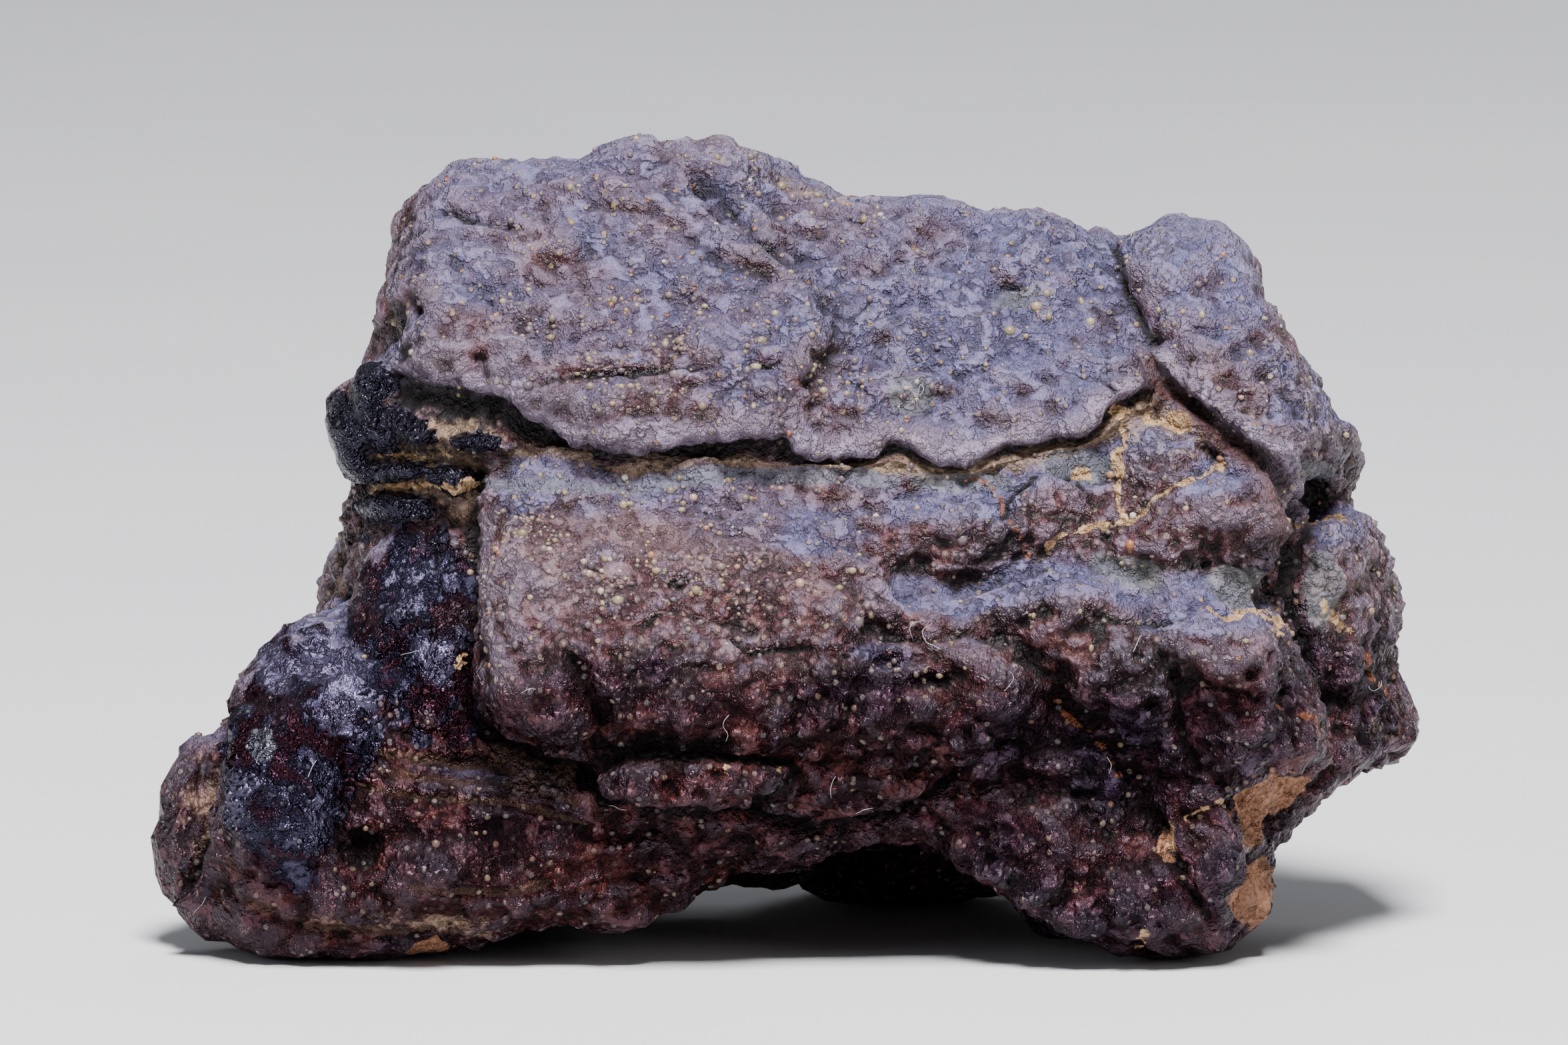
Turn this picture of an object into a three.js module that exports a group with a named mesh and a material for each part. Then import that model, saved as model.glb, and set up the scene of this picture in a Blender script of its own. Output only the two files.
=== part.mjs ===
// A weathered mesosiderite meteorite, 31 mm wide, standing on three blunt feet.
//
// The stone is one piece. It is worked out as a form: blocks with a traced outline and sloping faces,
// joined like the layers and lumps of the real stone, then grooves, pits and a little roughness.
// A fine icosahedron is shrink-wrapped on to that form.
//
// The form is described as the stone is seen from the front, in millimetres: x to the right, y up from
// the lowest point, z towards the viewer. The finished mesh is turned to +Z up, resting on its feet.
import * as THREE from "three";
import { mergeVertices } from "three/addons/utils/BufferGeometryUtils.js";
import { ImprovedNoise } from "three/addons/math/ImprovedNoise.js";

// Driving dimensions, in millimetres and degrees
const HALF_WIDTH = 15.5; // of the whole stone
const MIDDLE_HEIGHT = 9.6; // of the stone's middle above its feet
const BACK_DEPTH = -8.2; // of the back face
const LEAN = 8; // degrees that the front view looks down on the resting stone
const GROUND = 0.42; // how far up the feet are worn flat, measured square to the ground
const EDGE_ROUNDNESS = 0.45; // of the blocks' edges
const SEAM_ROUNDNESS = 0.3; // of the creases between blocks
const COLOUR = "#4b3f49";

// Wrapping
const FIRST_DETAIL = 10; // of the icosahedron before it is divided once more
const STAGES = [ // how loosely the wrapping follows the form, and for how many steps
  { detail: 1, looseness: 8, steps: 90 },
  { detail: 1, looseness: 4, steps: 60 },
  { detail: 1, looseness: 2, steps: 40 },
  { detail: 2, looseness: 2, steps: 10 },
  { detail: 2, looseness: 1.4, steps: 15 },
  { detail: 2, looseness: 1, steps: 40 },
];
const STEP_SHARE = 0.6; // of the distance to the form that a point moves in a step
const RELAX_SHARE = 0.5; // of the way to the middle of its neighbours
const FIT_STEPS = 12;

// A block is what lies inside its outline, in front of its backs and behind its fronts.
// A face is a sloping plane: [x, y, z of a point on it, rise of z per mm of x, rise of z per mm of y].
const BLOCKS = {
  core: {
    outline: [
      [-12.4, 1.6], [-12.6, 5], [-11.2, 8.3], [-10.6, 12], [-9.5, 15], [-9.4, 18.2], [-7.4, 19.3],
      [-3, 19.7], [0.9, 18.4], [6, 18], [9.6, 17.6], [11, 16.4], [12.4, 14], [12.8, 12], [14, 9.8],
      [14.1, 7], [12.6, 5.2], [10.8, 3], [9.4, 1.6], [7, 2], [4.8, 3.2], [0, 3], [-3, 2.8], [-9, 1.2],
    ],
    fronts: [[0, 12, 4, 0, -0.72], [0, 8, 4.4, 0, 0.1], [-9, 8, 3, 0.5, 0], [10, 8, 3.4, -0.55, 0]],
    backs: [
      [0, 10, BACK_DEPTH, 0.03, 0.06], [-1, 15, -6.6, 0, 0.85], [2, 4.5, -7.2, 0, -0.9],
      [-9, 9, -6.4, -0.95, 0.1], [9.5, 10, -6.9, 0.9, -0.05], [8, 15.5, -5, 0.55, 0.75],
    ],
    round: 1.2,
  },
  slab_left: {
    outline: [
      [-9.75, 14.6], [-9.95, 15.6], [-10.05, 17.2], [-9.95, 18.3], [-9.4, 19.1], [-8.6, 19.65],
      [-8, 19.9], [-6.8, 19.85], [-5.4, 19.88], [-4.9, 20.1], [-4.2, 20.55], [-3.4, 20.4], [-3, 20.25],
      [-2.4, 20.4], [-1.5, 20.2], [-0.3, 19.8], [-0.9, 18.9], [-0.3, 18.2], [0.3, 17.2], [1, 16.3],
      [0.9, 15], [0.3, 14.2], [0.2, 13], [-0.35, 13], [-1, 13.05], [-2.7, 12.93], [-3.85, 12.75],
      [-4.9, 13], [-5.9, 13.15], [-6.5, 13.5], [-6.9, 13.95], [-8.2, 14.15], [-9.2, 14.3],
    ],
    fronts: [
      [-3, 14.5, 5.3, 0.02, -0.72], [-3, 13.4, 5.7, 0, -0.25], [-9, 18.9, 1.4, 0.6, -1.3],
      [-9.6, 16.5, 3.3, 2.4, -0.7],
    ],
    backs: [[0, 16, -4, 0, 0.85]],
  },
  slab_right: {
    outline: [
      [-1.6, 12.9], [0.25, 12.68], [1.8, 12.6], [2.35, 12.92], [3.05, 12.7], [3.65, 12.43],
      [4.8, 12.62], [5.25, 12.86], [6, 12.97], [7, 13.2], [7.9, 13.9], [8, 14.05], [8.9, 14.35],
      [9.2, 15], [8.5, 16.6], [8, 17.7], [7.2, 17.8], [6.7, 18.4], [5.9, 18.67], [5.5, 18.57],
      [4.8, 18.57], [4.2, 18.87], [3.2, 18.95], [2.6, 18.7], [1.8, 18.85], [1, 19.05], [0, 19.7],
      [-1.5, 20.1],
    ],
    fronts: [
      [3, 14.5, 4.4, -0.04, -0.74], [3, 13.3, 5.1, -0.03, -0.35], [3, 17.8, 1.9, -0.05, -1.15],
    ],
    backs: [[0, 16, -4, 0, 0.85]],
  },
  shoulder: {
    outline: [
      [8.2, 17.8], [8.6, 17.95], [9, 18.05], [9.3, 18.35], [9.6, 18.42], [10.4, 18.2], [10.85, 17.95],
      [11.3, 17.2], [11.5, 16.4], [11.6, 15.85], [11.95, 15.65], [12.45, 15.1], [13, 14.2],
      [13.3, 13.6], [13.5, 13.2], [13.9, 12.95], [13.95, 12.5], [13.7, 12.2], [13, 12.2],
      [12.3, 12], [11.9, 12.3], [11, 13.1], [10, 13.9], [9.3, 14.8], [8.7, 15.5], [8.2, 16.6],
    ],
    fronts: [
      [9.5, 14.9, 4.9, -0.5, -0.62], [12.3, 14.5, 3.3, -1.7, -0.9], [10, 17.4, 3, -0.5, -1.3],
    ],
    backs: [[11, 15, -4, 0.6, 0.6]],
  },
  recess: {
    outline: [
      [-9.8, 14.3], [-9.9, 12.5], [-8, 11.6], [0, 11], [12, 11.4], [10.4, 13.4], [9, 14.6],
      [4, 13.4], [-3, 13.4], [-7, 14.3],
    ],
    fronts: [[0, 12.5, 4.35, -0.02, -0.7], [-8, 12.8, 3.5, 0.45, -0.5]],
    backs: [[0, 12, 0, 0, 0]],
  },
  body_left: {
    outline: [
      [-7.85, 12.1], [-7.95, 10.4], [-7.85, 8.6], [-8, 7.2], [-8, 6.4], [-7.3, 5.75], [-6.2, 5.25],
      [-5.2, 5.1], [-4.6, 4.95], [-3.5, 5.1], [-2, 5.1], [-0.2, 5], [0.5, 4.8], [2, 4.6], [3.5, 4.6],
      [5, 5.4], [6.5, 7.5], [6, 12.7], [1, 12.4], [-4, 12.3],
    ],
    fronts: [
      [-3, 12, 4.9, -0.02, -0.8], [-3, 9.3, 6.85, -0.03, -0.3], [-3, 7.2, 7.35, -0.03, 0.25],
      [-3, 5.5, 6.7, -0.02, 0.95], [-7.7, 8, 6.9, 0.8, 0],
    ],
    backs: [[0, 8, 0, 0, 0]],
  },
  body_right: {
    outline: [
      [2, 12.6], [6, 13.2], [7.6, 13.5], [8.2, 13.95], [9.2, 14.1], [9.8, 13.6], [10.8, 12.8],
      [11.9, 12], [12.2, 11.2], [12.1, 10.2], [12.2, 9], [12.6, 8.2], [13.1, 7], [13.3, 5.6],
      [12.9, 4.9], [12, 4.8], [10.8, 4.4], [9.5, 4.9], [8, 5.4], [6, 6.2], [4, 5], [2, 5],
    ],
    fronts: [
      [8, 12.5, 4.3, -0.04, -0.55], [8, 8.3, 6.5, -0.03, -0.12], [9, 6.5, 6.4, -0.04, 0.5],
      [11.9, 8, 5.4, -1.5, -0.1],
    ],
    backs: [[8, 8, 0, 0, 0]],
  },
  under_lip: {
    outline: [
      [-5.4, 5.2], [-5, 3.5], [-2.4, 2.9], [-1.8, 2.38], [-1, 2.4], [0.2, 2.3], [0.6, 2.7], [2.2, 3.1],
      [3.2, 3.3], [4.4, 3.6], [5.4, 5.2], [3, 5.6],
    ],
    fronts: [[0, 4.4, 5.7, -0.05, 0.75], [0, 3, 4.5, -0.05, 1.6]],
    backs: [[0, 4, -4, 0, -0.3]],
  },
  lip_ledge: {
    outline: [
      [-4.9, 4.6], [-4.3, 5.05], [-3.4, 5.15], [-0.15, 4.95], [0.05, 4.7], [-0.4, 4.3], [-1, 3.85],
      [-3.6, 3.75], [-4.6, 4],
    ],
    fronts: [[-2, 4.8, 6.5, -0.02, -0.3], [-2, 4.2, 6.4, 0, 0.8]],
    backs: [[0, 4, 2, 0, 0]],
  },
  foot_left: {
    outline: [
      [-11.4, 5.7], [-10, 5.7], [-8.2, 5.5], [-7, 5.3], [-5.5, 4.9], [-5.2, 4], [-4.4, 3.3],
      [-3, 2.95], [-1.9, 2.6], [-2, 2.25], [-3, 1.6], [-4.1, 0.97], [-5, 1.1], [-7, 1.1],
      [-7.6, 0.8], [-9, 0.38], [-9.6, 0.02], [-10.4, -0.1], [-12, -0.1], [-14.2, -0.1], [-15, 0.5],
      [-15.3, 1], [-15.4, 1.9], [-14.9, 2.8], [-14.2, 4],
    ],
    fronts: [
      [-9, 3.6, 5.3, 0.02, 0.2], [-9, 1.3, 4.8, 0, 1.1], [-13.8, 3, 4.1, 0.9, 0.2],
      [-9, 5.2, 5.2, 0, -0.5], [-4, 2, 4.6, -0.3, 0.5],
    ],
    backs: [[-10, 3, -2.2, -0.4, -0.9]],
  },
  spur: {
    outline: [
      [-11, 6], [-11.3, 4.6], [-11.7, 3.4], [-12.5, 2.3], [-13.8, 2.2], [-14.25, 3.2], [-14, 4.8],
      [-13.95, 6.2], [-13.75, 6.9], [-13.3, 7.4], [-12.5, 8.1], [-11.95, 8.6], [-10.6, 8.5],
      [-10, 7.2], [-9.9, 6.1],
    ],
    fronts: [[-12, 6.3, 5.2, 0.25, -1.35], [-12.8, 4.5, 5.5, 0.35, -0.05], [-13.7, 5, 4.6, 1.6, -0.2]],
    backs: [[-12, 5, -2, -0.5, 0.2]],
  },
  column_left: {
    outline: [
      [-10.9, 9.2], [-10.5, 10.2], [-10.3, 11], [-9.4, 11.5], [-7.7, 11.6], [-7.4, 11], [-7.4, 6],
      [-8.4, 5.7], [-10, 5.9], [-10.9, 6.8], [-11, 8],
    ],
    fronts: [[-9, 9, 4.5, 0.45, -0.12], [-9, 7, 5.2, 0.3, -0.55]],
    backs: [[-9, 9, 0, 0, 0]],
  },
  lobe_left: {
    outline: [
      [-10.2, 12], [-10.6, 11.8], [-10.95, 11.2], [-11.25, 10.5], [-11.45, 9.8], [-11.45, 9],
      [-11.3, 7.8], [-10, 7.5], [-9, 11],
    ],
    fronts: [[-11, 10, 0.6, 0.5, -0.2]],
    backs: [[-11, 10, -4.5, -0.9, 0.3]],
  },
  sliver_left: {
    outline: [
      [-9.4, 16.9], [-10.1, 16.75], [-10.4, 16], [-10.58, 15], [-10.4, 14.4], [-9.9, 13.4], [-9, 14],
    ],
    fronts: [[-10, 15.5, 0.6, 0.6, -0.3]],
    backs: [[-10, 15, -4.2, -0.9, 0.4]],
  },
  foot_back: {
    outline: [
      [-13.4, 5.9], [-14.4, 5.6], [-15.1, 5.3], [-15.5, 4.8], [-15.75, 4.1], [-15.8, 3.5],
      [-15.75, 2.7], [-15.5, 1.8], [-15.2, 1], [-14.6, 0.2], [-13, 0.2],
    ],
    fronts: [[-14.5, 4, 2.4, 0.35, -0.1]],
    backs: [[-14.5, 4, -3.6, -0.5, 0.2]],
  },
  foot_right: {
    outline: [
      [2.9, 3.6], [3.9, 2.9], [5, 1.95], [5.5, 1.75], [6.1, 1.1], [6.5, 0.85], [7.4, 0.7],
      [8, 0.3], [8.6, 0.02], [9.9, 0], [10.8, 0.45], [11.5, 1.3], [11.75, 1.9], [11.45, 2.4],
      [11.35, 2.65], [12.3, 3.5], [13, 4.3], [12.6, 5.2], [8, 6], [4, 5.4],
    ],
    fronts: [
      [6.5, 3.2, 5.2, 0.03, 0.08], [8.4, 1, 4.7, 0, 1.5], [11, 3, 4.1, -1.3, 0.3],
      [4, 3.6, 4.8, 0.5, 0.3],
    ],
    backs: [[9, 3, -1.6, 0.3, -0.9]],
  },
  foot_chip: {
    outline: [
      [9.05, 3.5], [9.2, 3], [9.7, 1.95], [10.35, 1.15], [11.2, 2.4], [11.1, 3], [10.8, 3.9],
      [10, 4.1],
    ],
    fronts: [[10, 2.8, 5.5, -0.3, 0.1]],
    backs: [[10, 3, 2, 0, 0]],
  },
  lobe_right: {
    outline: [
      [12, 11.1], [13.65, 11.12], [14, 10.92], [14.3, 10.8], [14.7, 10.3], [15, 9.5], [15.07, 9.1],
      [14.87, 8.5], [14.8, 8], [14.6, 7.7], [14.95, 7.1], [15.35, 6.4], [15.62, 5.95],
      [15.35, 5.6], [15.1, 5.2], [14.5, 4.8], [13.4, 4.55], [12.6, 4.6], [11.6, 6],
    ],
    fronts: [
      [12.8, 8.5, 3.1, -0.9, -0.15], [14.4, 8.5, 0.8, -2.2, -0.2], [13.2, 10.7, 1.9, -0.6, -1.4],
      [14, 6, 1.6, -1, 0.25],
    ],
    backs: [[14, 8, -5.2, 0.9, -0.2], [14, 9.5, -4.2, 0.6, 1]],
  },
  socket: {
    outline: [[11.5, 10.6], [13.5, 10.9], [13.5, 12], [13.6, 12.6], [11.5, 12.8]],
    fronts: [[12.8, 11.6, 0.9, -0.2, -0.2]],
    backs: [[12.8, 11.6, -3.4, 0.5, 0.2]],
  },
};

// Rounded lumps: middle, half sizes, turn in the front view in degrees.
const LUMPS = [
  { at: [2.9, 3.9, -5.8], half: [3.4, 2.9, 2.7], turn: 4 }, // the third foot, at the back
  { at: [-9.8, 11.3, 3.5], half: [1, 0.42, 0.9], turn: -3 },
  { at: [-8.45, 11.95, 4.1], half: [0.62, 0.42, 0.8], turn: -12 },
  { at: [-9.9, 12.15, 3.3], half: [1, 0.3, 0.9], turn: 4 },
  { at: [-10.95, 13.1, 1.6], half: [0.42, 0.95, 1.1], turn: 8 },
  { at: [-10.25, 13.3, 2.8], half: [0.42, 0.85, 0.9], turn: 24 },
  { at: [-9.4, 13.3, 3.5], half: [0.75, 0.3, 0.7], turn: -30 },
  { at: [-10.3, 14.25, 2], half: [0.45, 0.5, 1], turn: -10 },
  { at: [-7.8, 12.85, 4.1], half: [0.6, 0.38, 0.6], turn: -10 },
  { at: [5.9, 11.4, 4.7], half: [1.5, 0.9, 0.9], turn: -8 },
  { at: [9, 12.3, 4.3], half: [1.1, 0.85, 0.8], turn: 30 },
  { at: [10.3, 10.9, 4.9], half: [1.9, 0.95, 0.9], turn: 18 },
  { at: [4.4, 10.6, 5.5], half: [0.9, 0.7, 0.8], turn: 0 },
  { at: [10, 7.7, 6.1], half: [2, 0.9, 0.8], turn: -4 },
  { at: [7.2, 8.9, 6.1], half: [1.5, 0.5, 0.7], turn: 6 },
  { at: [-9, 2.6, 4.9], half: [1.2, 1, 0.8], turn: 0 },
  { at: [-6, 4.2, 5], half: [2.4, 0.5, 0.8], turn: -8 },
];

// Grooves are cut along a path in the front view, and ridges are negative grooves.
const GROOVES = [
  { path: [[-7.75, 12.2], [-7.8, 9], [-7.9, 7.2], [-8, 6.1]], width: 0.35, depth: 0.9 },
  { path: [[-8, 6.1], [-7, 5.5], [-5.4, 4.9], [-5, 4.3]], width: 0.4, depth: 0.6 },
  { path: [[-9.6, 14.1], [-8.6, 13.9], [-7, 13.6]], width: 0.45, depth: 1.3 },
  { path: [[5.3, 8.1], [6.3, 7], [7.3, 5.9], [8.4, 4.9], [9, 3.6], [9.3, 2.7]], width: 0.5, depth: 0.7 },
  { path: [[9.3, 7.2], [9.4, 5.9], [9.9, 4.9]], width: 0.4, depth: 0.4 },
  { path: [[3, 9.5], [4.2, 9.35], [5.4, 9.7]], width: 0.6, depth: 0.8 },
  { path: [[4.4, 8.2], [2.6, 7.9], [2, 8.1]], width: 0.4, depth: 0.4 },
  { path: [[10.3, 9.5], [11.3, 9.3]], width: 0.7, depth: 0.5 },
  { path: [[7.6, 9.8], [8.6, 9.4]], width: 0.5, depth: 0.3 },
  { path: [[12.3, 10.4], [12.1, 9], [12.8, 7.4], [13.3, 6]], width: 0.4, depth: 0.6 },
  { path: [[-4.6, 6.3], [-4.7, 5.2]], width: 0.35, depth: 0.4 },
  { path: [[3, 4.9], [4.4, 4.4], [6.5, 4.2], [8.3, 4.1]], width: 0.3, depth: 0.35 },
  { path: [[6.9, 4.2], [7.5, 3.3], [8, 3]], width: 0.25, depth: 0.2 },
  { path: [[-1.4, 8.2], [-0.9, 8.4]], width: 0.3, depth: 0.3 },
  { path: [[5, 16.75], [5.6, 16.7]], width: 0.25, depth: 0.5 },
  { path: [[7.3, 18], [7.6, 17], [7.4, 16.4]], width: 0.3, depth: 0.25 },
  { path: [[8, 17.6], [8.3, 16.6], [8.8, 15.4]], width: 0.35, depth: 0.3 },
  { path: [[-10, 5.1], [-8, 4.9], [-6.3, 4.6]], width: 0.3, depth: 0.25 },
  { path: [[-11.2, 5.6], [-11, 4], [-10.9, 3]], width: 0.35, depth: 0.35 },
];

// Hollows like thumb marks, and bumps where the depth is negative: middle, radius, depth.
const HOLLOWS = [
  { at: [-4, 13, -7.6], radius: 3, depth: 1 },
  { at: [4.5, 11.5, -8.4], radius: 3.4, depth: 1.1 },
  { at: [-6, 6.5, -8], radius: 2.6, depth: 0.9 },
  { at: [9.5, 7, -7], radius: 2.4, depth: 0.9 },
  { at: [1, 17, -5], radius: 2.2, depth: 0.7 },
  { at: [7.5, 15.5, -5.4], radius: 2, depth: 0.7 },
  { at: [-10, 10.5, -6], radius: 2, depth: 0.6 },
  { at: [0, 8, -8.6], radius: 1.6, depth: -0.7 },
  { at: [-8.4, 15, -5], radius: 1.6, depth: -0.5 },
  { at: [-6, 1.6, 0], radius: 2.6, depth: 0.6 },
  { at: [1, 2.4, 1], radius: 2.4, depth: 0.5 },
];

// Roughness: size of the bumps and how far they stand out, at the front and at the back.
const ROUGHNESS = [
  { size: 3.4, front: 0.16, back: 0.75 },
  { size: 1.5, front: 0.2, back: 0.34 },
  { size: 0.8, front: 0.1, back: 0.12 },
];

const noise = new ImprovedNoise();

// Smallest and largest of two values, with the step between them rounded over the given width.
function smoothMin(a, b, width) {
  const overlap = width - Math.abs(a - b);
  if (!(overlap > 0)) return Math.min(a, b);
  return Math.min(a, b) - (overlap * overlap) / (4 * width);
}

const smoothMax = (a, b, width) => -smoothMin(-a, -b, width);

// The straight pieces of a path, each with its start, its run and its squared length.
function segmentsOf(path, closed) {
  const ends = closed ? [...path.slice(1), path[0]] : path.slice(1);
  return ends.map(([bx, by], i) => {
    const [ax, ay] = path[i];
    const dx = bx - ax;
    const dy = by - ay;
    return { ax, ay, dx, dy, squared: dx * dx + dy * dy };
  });
}

function squaredDistance(x, y, { ax, ay, dx, dy, squared }) {
  const along = Math.min(Math.max(((x - ax) * dx + (y - ay) * dy) / squared, 0), 1);
  const ex = x - ax - along * dx;
  const ey = y - ay - along * dy;
  return ex * ex + ey * ey;
}

function distanceToPath(x, y, segments) {
  let nearest = Infinity;
  for (const segment of segments) nearest = Math.min(nearest, squaredDistance(x, y, segment));
  return Math.sqrt(nearest);
}

// Distance to a closed outline, negative inside it.
function distanceToOutline(x, y, segments) {
  let nearest = Infinity;
  let inside = false;
  for (const segment of segments) {
    nearest = Math.min(nearest, squaredDistance(x, y, segment));
    const { ax, ay, dx, dy } = segment;
    if (ay > y !== ay + dy > y && x < (dx * (y - ay)) / dy + ax) inside = !inside;
  }
  return inside ? -Math.sqrt(nearest) : Math.sqrt(nearest);
}

// How far a point lies outside a box round an outline.
function outsideBox(x, y, box) {
  const dx = Math.max(box.min.x - x, x - box.max.x, 0);
  const dy = Math.max(box.min.y - y, y - box.max.y, 0);
  return Math.sqrt(dx * dx + dy * dy);
}

const boxOf = (path) => new THREE.Box2().setFromPoints(path.map(([x, y]) => new THREE.Vector2(x, y)));

const blocks = Object.values(BLOCKS).map(({ outline, fronts, backs, round = EDGE_ROUNDNESS }) => {
  const faces = [...fronts.map((face) => [...face, 1]), ...backs.map((face) => [...face, -1])];
  return {
    box: boxOf(outline),
    segments: segmentsOf(outline, true),
    faces: faces.map(([x, y, z, slopeX, slopeY, side]) => {
      const share = side / Math.hypot(1, slopeX, slopeY);
      return [-slopeX * share, -slopeY * share, share, (slopeX * x + slopeY * y - z) * share];
    }),
    round,
  };
});

const grooves = GROOVES.map(({ path, width, depth }) => (
  { box: boxOf(path), segments: segmentsOf(path, false), reach: 2 * width, depth }));

// Distance to a block, or anything larger than the limit where the block is farther off than that.
function distanceToBlock(x, y, z, { box, segments, faces, round }, looseness, limit) {
  if (outsideBox(x, y, box) > limit) return Infinity;
  const width = round * Math.min(looseness, 3);
  let distance = -Infinity;
  for (const [a, b, c, d] of faces) distance = smoothMax(distance, a * x + b * y + c * z + d, width);
  if (distance > limit) return Infinity;
  return smoothMax(distance, distanceToOutline(x, y, segments), width);
}

function distanceToLump(x, y, z, { at, half, turn }) {
  const angle = THREE.MathUtils.degToRad(turn);
  const dx = x - at[0];
  const dy = y - at[1];
  const u = (dx * Math.cos(angle) + dy * Math.sin(angle)) / half[0];
  const v = (dy * Math.cos(angle) - dx * Math.sin(angle)) / half[1];
  const w = (z - at[2]) / half[2];
  const reach = Math.hypot(u, v, w);
  const steepness = Math.hypot(u / half[0], v / half[1], w / half[2]);
  return (reach * (reach - 1)) / Math.max(steepness, 1e-6);
}

// 1 in the middle of a dent, falling smoothly to 0 at its edge.
function dent(distance, radius) {
  const share = Math.max(1 - (distance / radius) ** 2, 0);
  return share * share;
}

// The form of the stone: negative inside, positive outside, roughly in millimetres. Where the looseness
// is over 1 its creases and edges are that many times rounder, and its grooves that much shallower.
function form(x, y, z, looseness) {
  const seam = SEAM_ROUNDNESS * looseness;
  let distance = Infinity;
  for (const block of blocks) {
    const away = distanceToBlock(x, y, z, block, looseness, distance + seam);
    distance = smoothMin(distance, away, seam);
  }
  for (const lump of LUMPS) distance = smoothMin(distance, distanceToLump(x, y, z, lump), seam);
  const facing = THREE.MathUtils.smoothstep(z, 0.5, 2.5) / looseness;
  if (facing > 0) {
    for (const { box, segments, reach, depth } of grooves) {
      if (outsideBox(x, y, box) > reach) continue;
      distance += facing * depth * dent(distanceToPath(x, y, segments), reach);
    }
  }
  for (const { at, radius, depth } of HOLLOWS) {
    distance += depth * dent(Math.hypot(x - at[0], y - at[1], z - at[2]), radius);
  }
  const frontShare = THREE.MathUtils.smoothstep(z, -3, 0);
  for (const { size, front, back } of ROUGHNESS) {
    const height = back + (front - back) * frontShare;
    distance += height * noise.noise(x / size + 7.3, y / size + 2.9, z / size + 5.1);
  }
  return distance;
}

// Direction in which the form's value rises fastest, from its value at the point itself.
function outward({ x, y, z }, looseness, value, target) {
  const step = 0.03;
  target.x = form(x + step, y, z, looseness) - value;
  target.y = form(x, y + step, z, looseness) - value;
  target.z = form(x, y, z + step, looseness) - value;
  return target.divideScalar(step);
}

function neighboursOf(index, count) {
  const sets = Array.from({ length: count }, () => new Set());
  for (let i = 0; i < index.length; i += 3) {
    for (let k = 0; k < 3; k++) {
      const a = index[i + k];
      sets[a].add(index[i + ((k + 1) % 3)]);
      sets[a].add(index[i + ((k + 2) % 3)]);
    }
  }
  return sets.map((set) => [...set]);
}

// Moves every point on to the form, and slides it between its neighbours so the points stay evenly spread.
function wrap(points, index, looseness, steps) {
  const neighbours = neighboursOf(index, points.length);
  const slope = new THREE.Vector3();
  const slide = new THREE.Vector3();
  for (let step = 0; step < steps; step++) {
    const before = points.map((p) => p.clone());
    points.forEach((p, i) => {
      const value = form(p.x, p.y, p.z, looseness);
      outward(p, looseness, value, slope);
      const steepness = Math.max(slope.length(), 0.3);
      const away = THREE.MathUtils.clamp(value / steepness, -0.8, 0.8);
      slope.divideScalar(steepness);
      slide.set(0, 0, 0);
      let pull = 0;
      for (const n of neighbours[i]) {
        const length = before[i].distanceTo(before[n]);
        slide.addScaledVector(before[n], length).addScaledVector(before[i], -length);
        pull += length;
      }
      slide.divideScalar(pull);
      slide.addScaledVector(slope, -slide.dot(slope));
      p.addScaledVector(slope, -STEP_SHARE * away).addScaledVector(slide, RELAX_SHARE);
    });
  }
}

// Last steps on to the form along its slope alone, with no sliding.
function fit(points) {
  const slope = new THREE.Vector3();
  for (let step = 0; step < FIT_STEPS; step++) {
    for (const p of points) {
      const value = form(p.x, p.y, p.z, 1);
      outward(p, 1, value, slope);
      const steepness = Math.max(slope.length(), 0.5);
      const away = THREE.MathUtils.clamp(value / steepness, -0.15, 0.15);
      p.addScaledVector(slope, (-0.5 * away) / steepness);
    }
  }
}

// Splits every triangle into four.
function divide(points, index) {
  const middles = new Map();
  const middle = (a, b) => {
    const key = Math.min(a, b) * 1e6 + Math.max(a, b);
    if (!middles.has(key)) {
      middles.set(key, points.length);
      points.push(points[a].clone().lerp(points[b], 0.5));
    }
    return middles.get(key);
  };
  const finer = [];
  for (let i = 0; i < index.length; i += 3) {
    const [a, b, c] = index.slice(i, i + 3);
    const ab = middle(a, b);
    const bc = middle(b, c);
    const ca = middle(c, a);
    finer.push(a, ab, ca, ab, b, bc, ca, bc, c, ab, bc, ca);
  }
  return finer;
}

function wrappedStone() {
  const ball = new THREE.IcosahedronGeometry(1, FIRST_DETAIL);
  ball.deleteAttribute("normal");
  ball.deleteAttribute("uv");
  const merged = mergeVertices(ball, 1e-4);
  const places = merged.attributes.position;
  const points = Array.from({ length: places.count }, (_, i) =>
    new THREE.Vector3().fromBufferAttribute(places, i)
      .multiply(new THREE.Vector3(HALF_WIDTH, MIDDLE_HEIGHT + 1, -BACK_DEPTH + 1))
      .add(new THREE.Vector3(0, MIDDLE_HEIGHT, 0)));
  let index = Array.from(merged.index.array);
  let reached = 1;
  for (const { detail, looseness, steps } of STAGES) {
    if (detail > reached) index = divide(points, index);
    reached = detail;
    wrap(points, index, looseness, steps);
  }
  fit(points);
  const stone = new THREE.BufferGeometry().setFromPoints(points);
  return stone.setIndex(index);
}

// Turns the front view upright, wears the feet flat at the ground and puts the middle over the origin.
function stand(stone) {
  stone.rotateX(Math.PI / 2 - THREE.MathUtils.degToRad(LEAN));
  stone.translate(0, 0, -GROUND);
  const places = stone.attributes.position;
  for (let i = 0; i < places.count; i++) places.setZ(i, Math.max(places.getZ(i), 0));
  stone.computeBoundingBox();
  const middle = stone.boundingBox.getCenter(new THREE.Vector3());
  stone.translate(-middle.x, -middle.y, 0);
  stone.computeVertexNormals();
  return stone;
}

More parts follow.
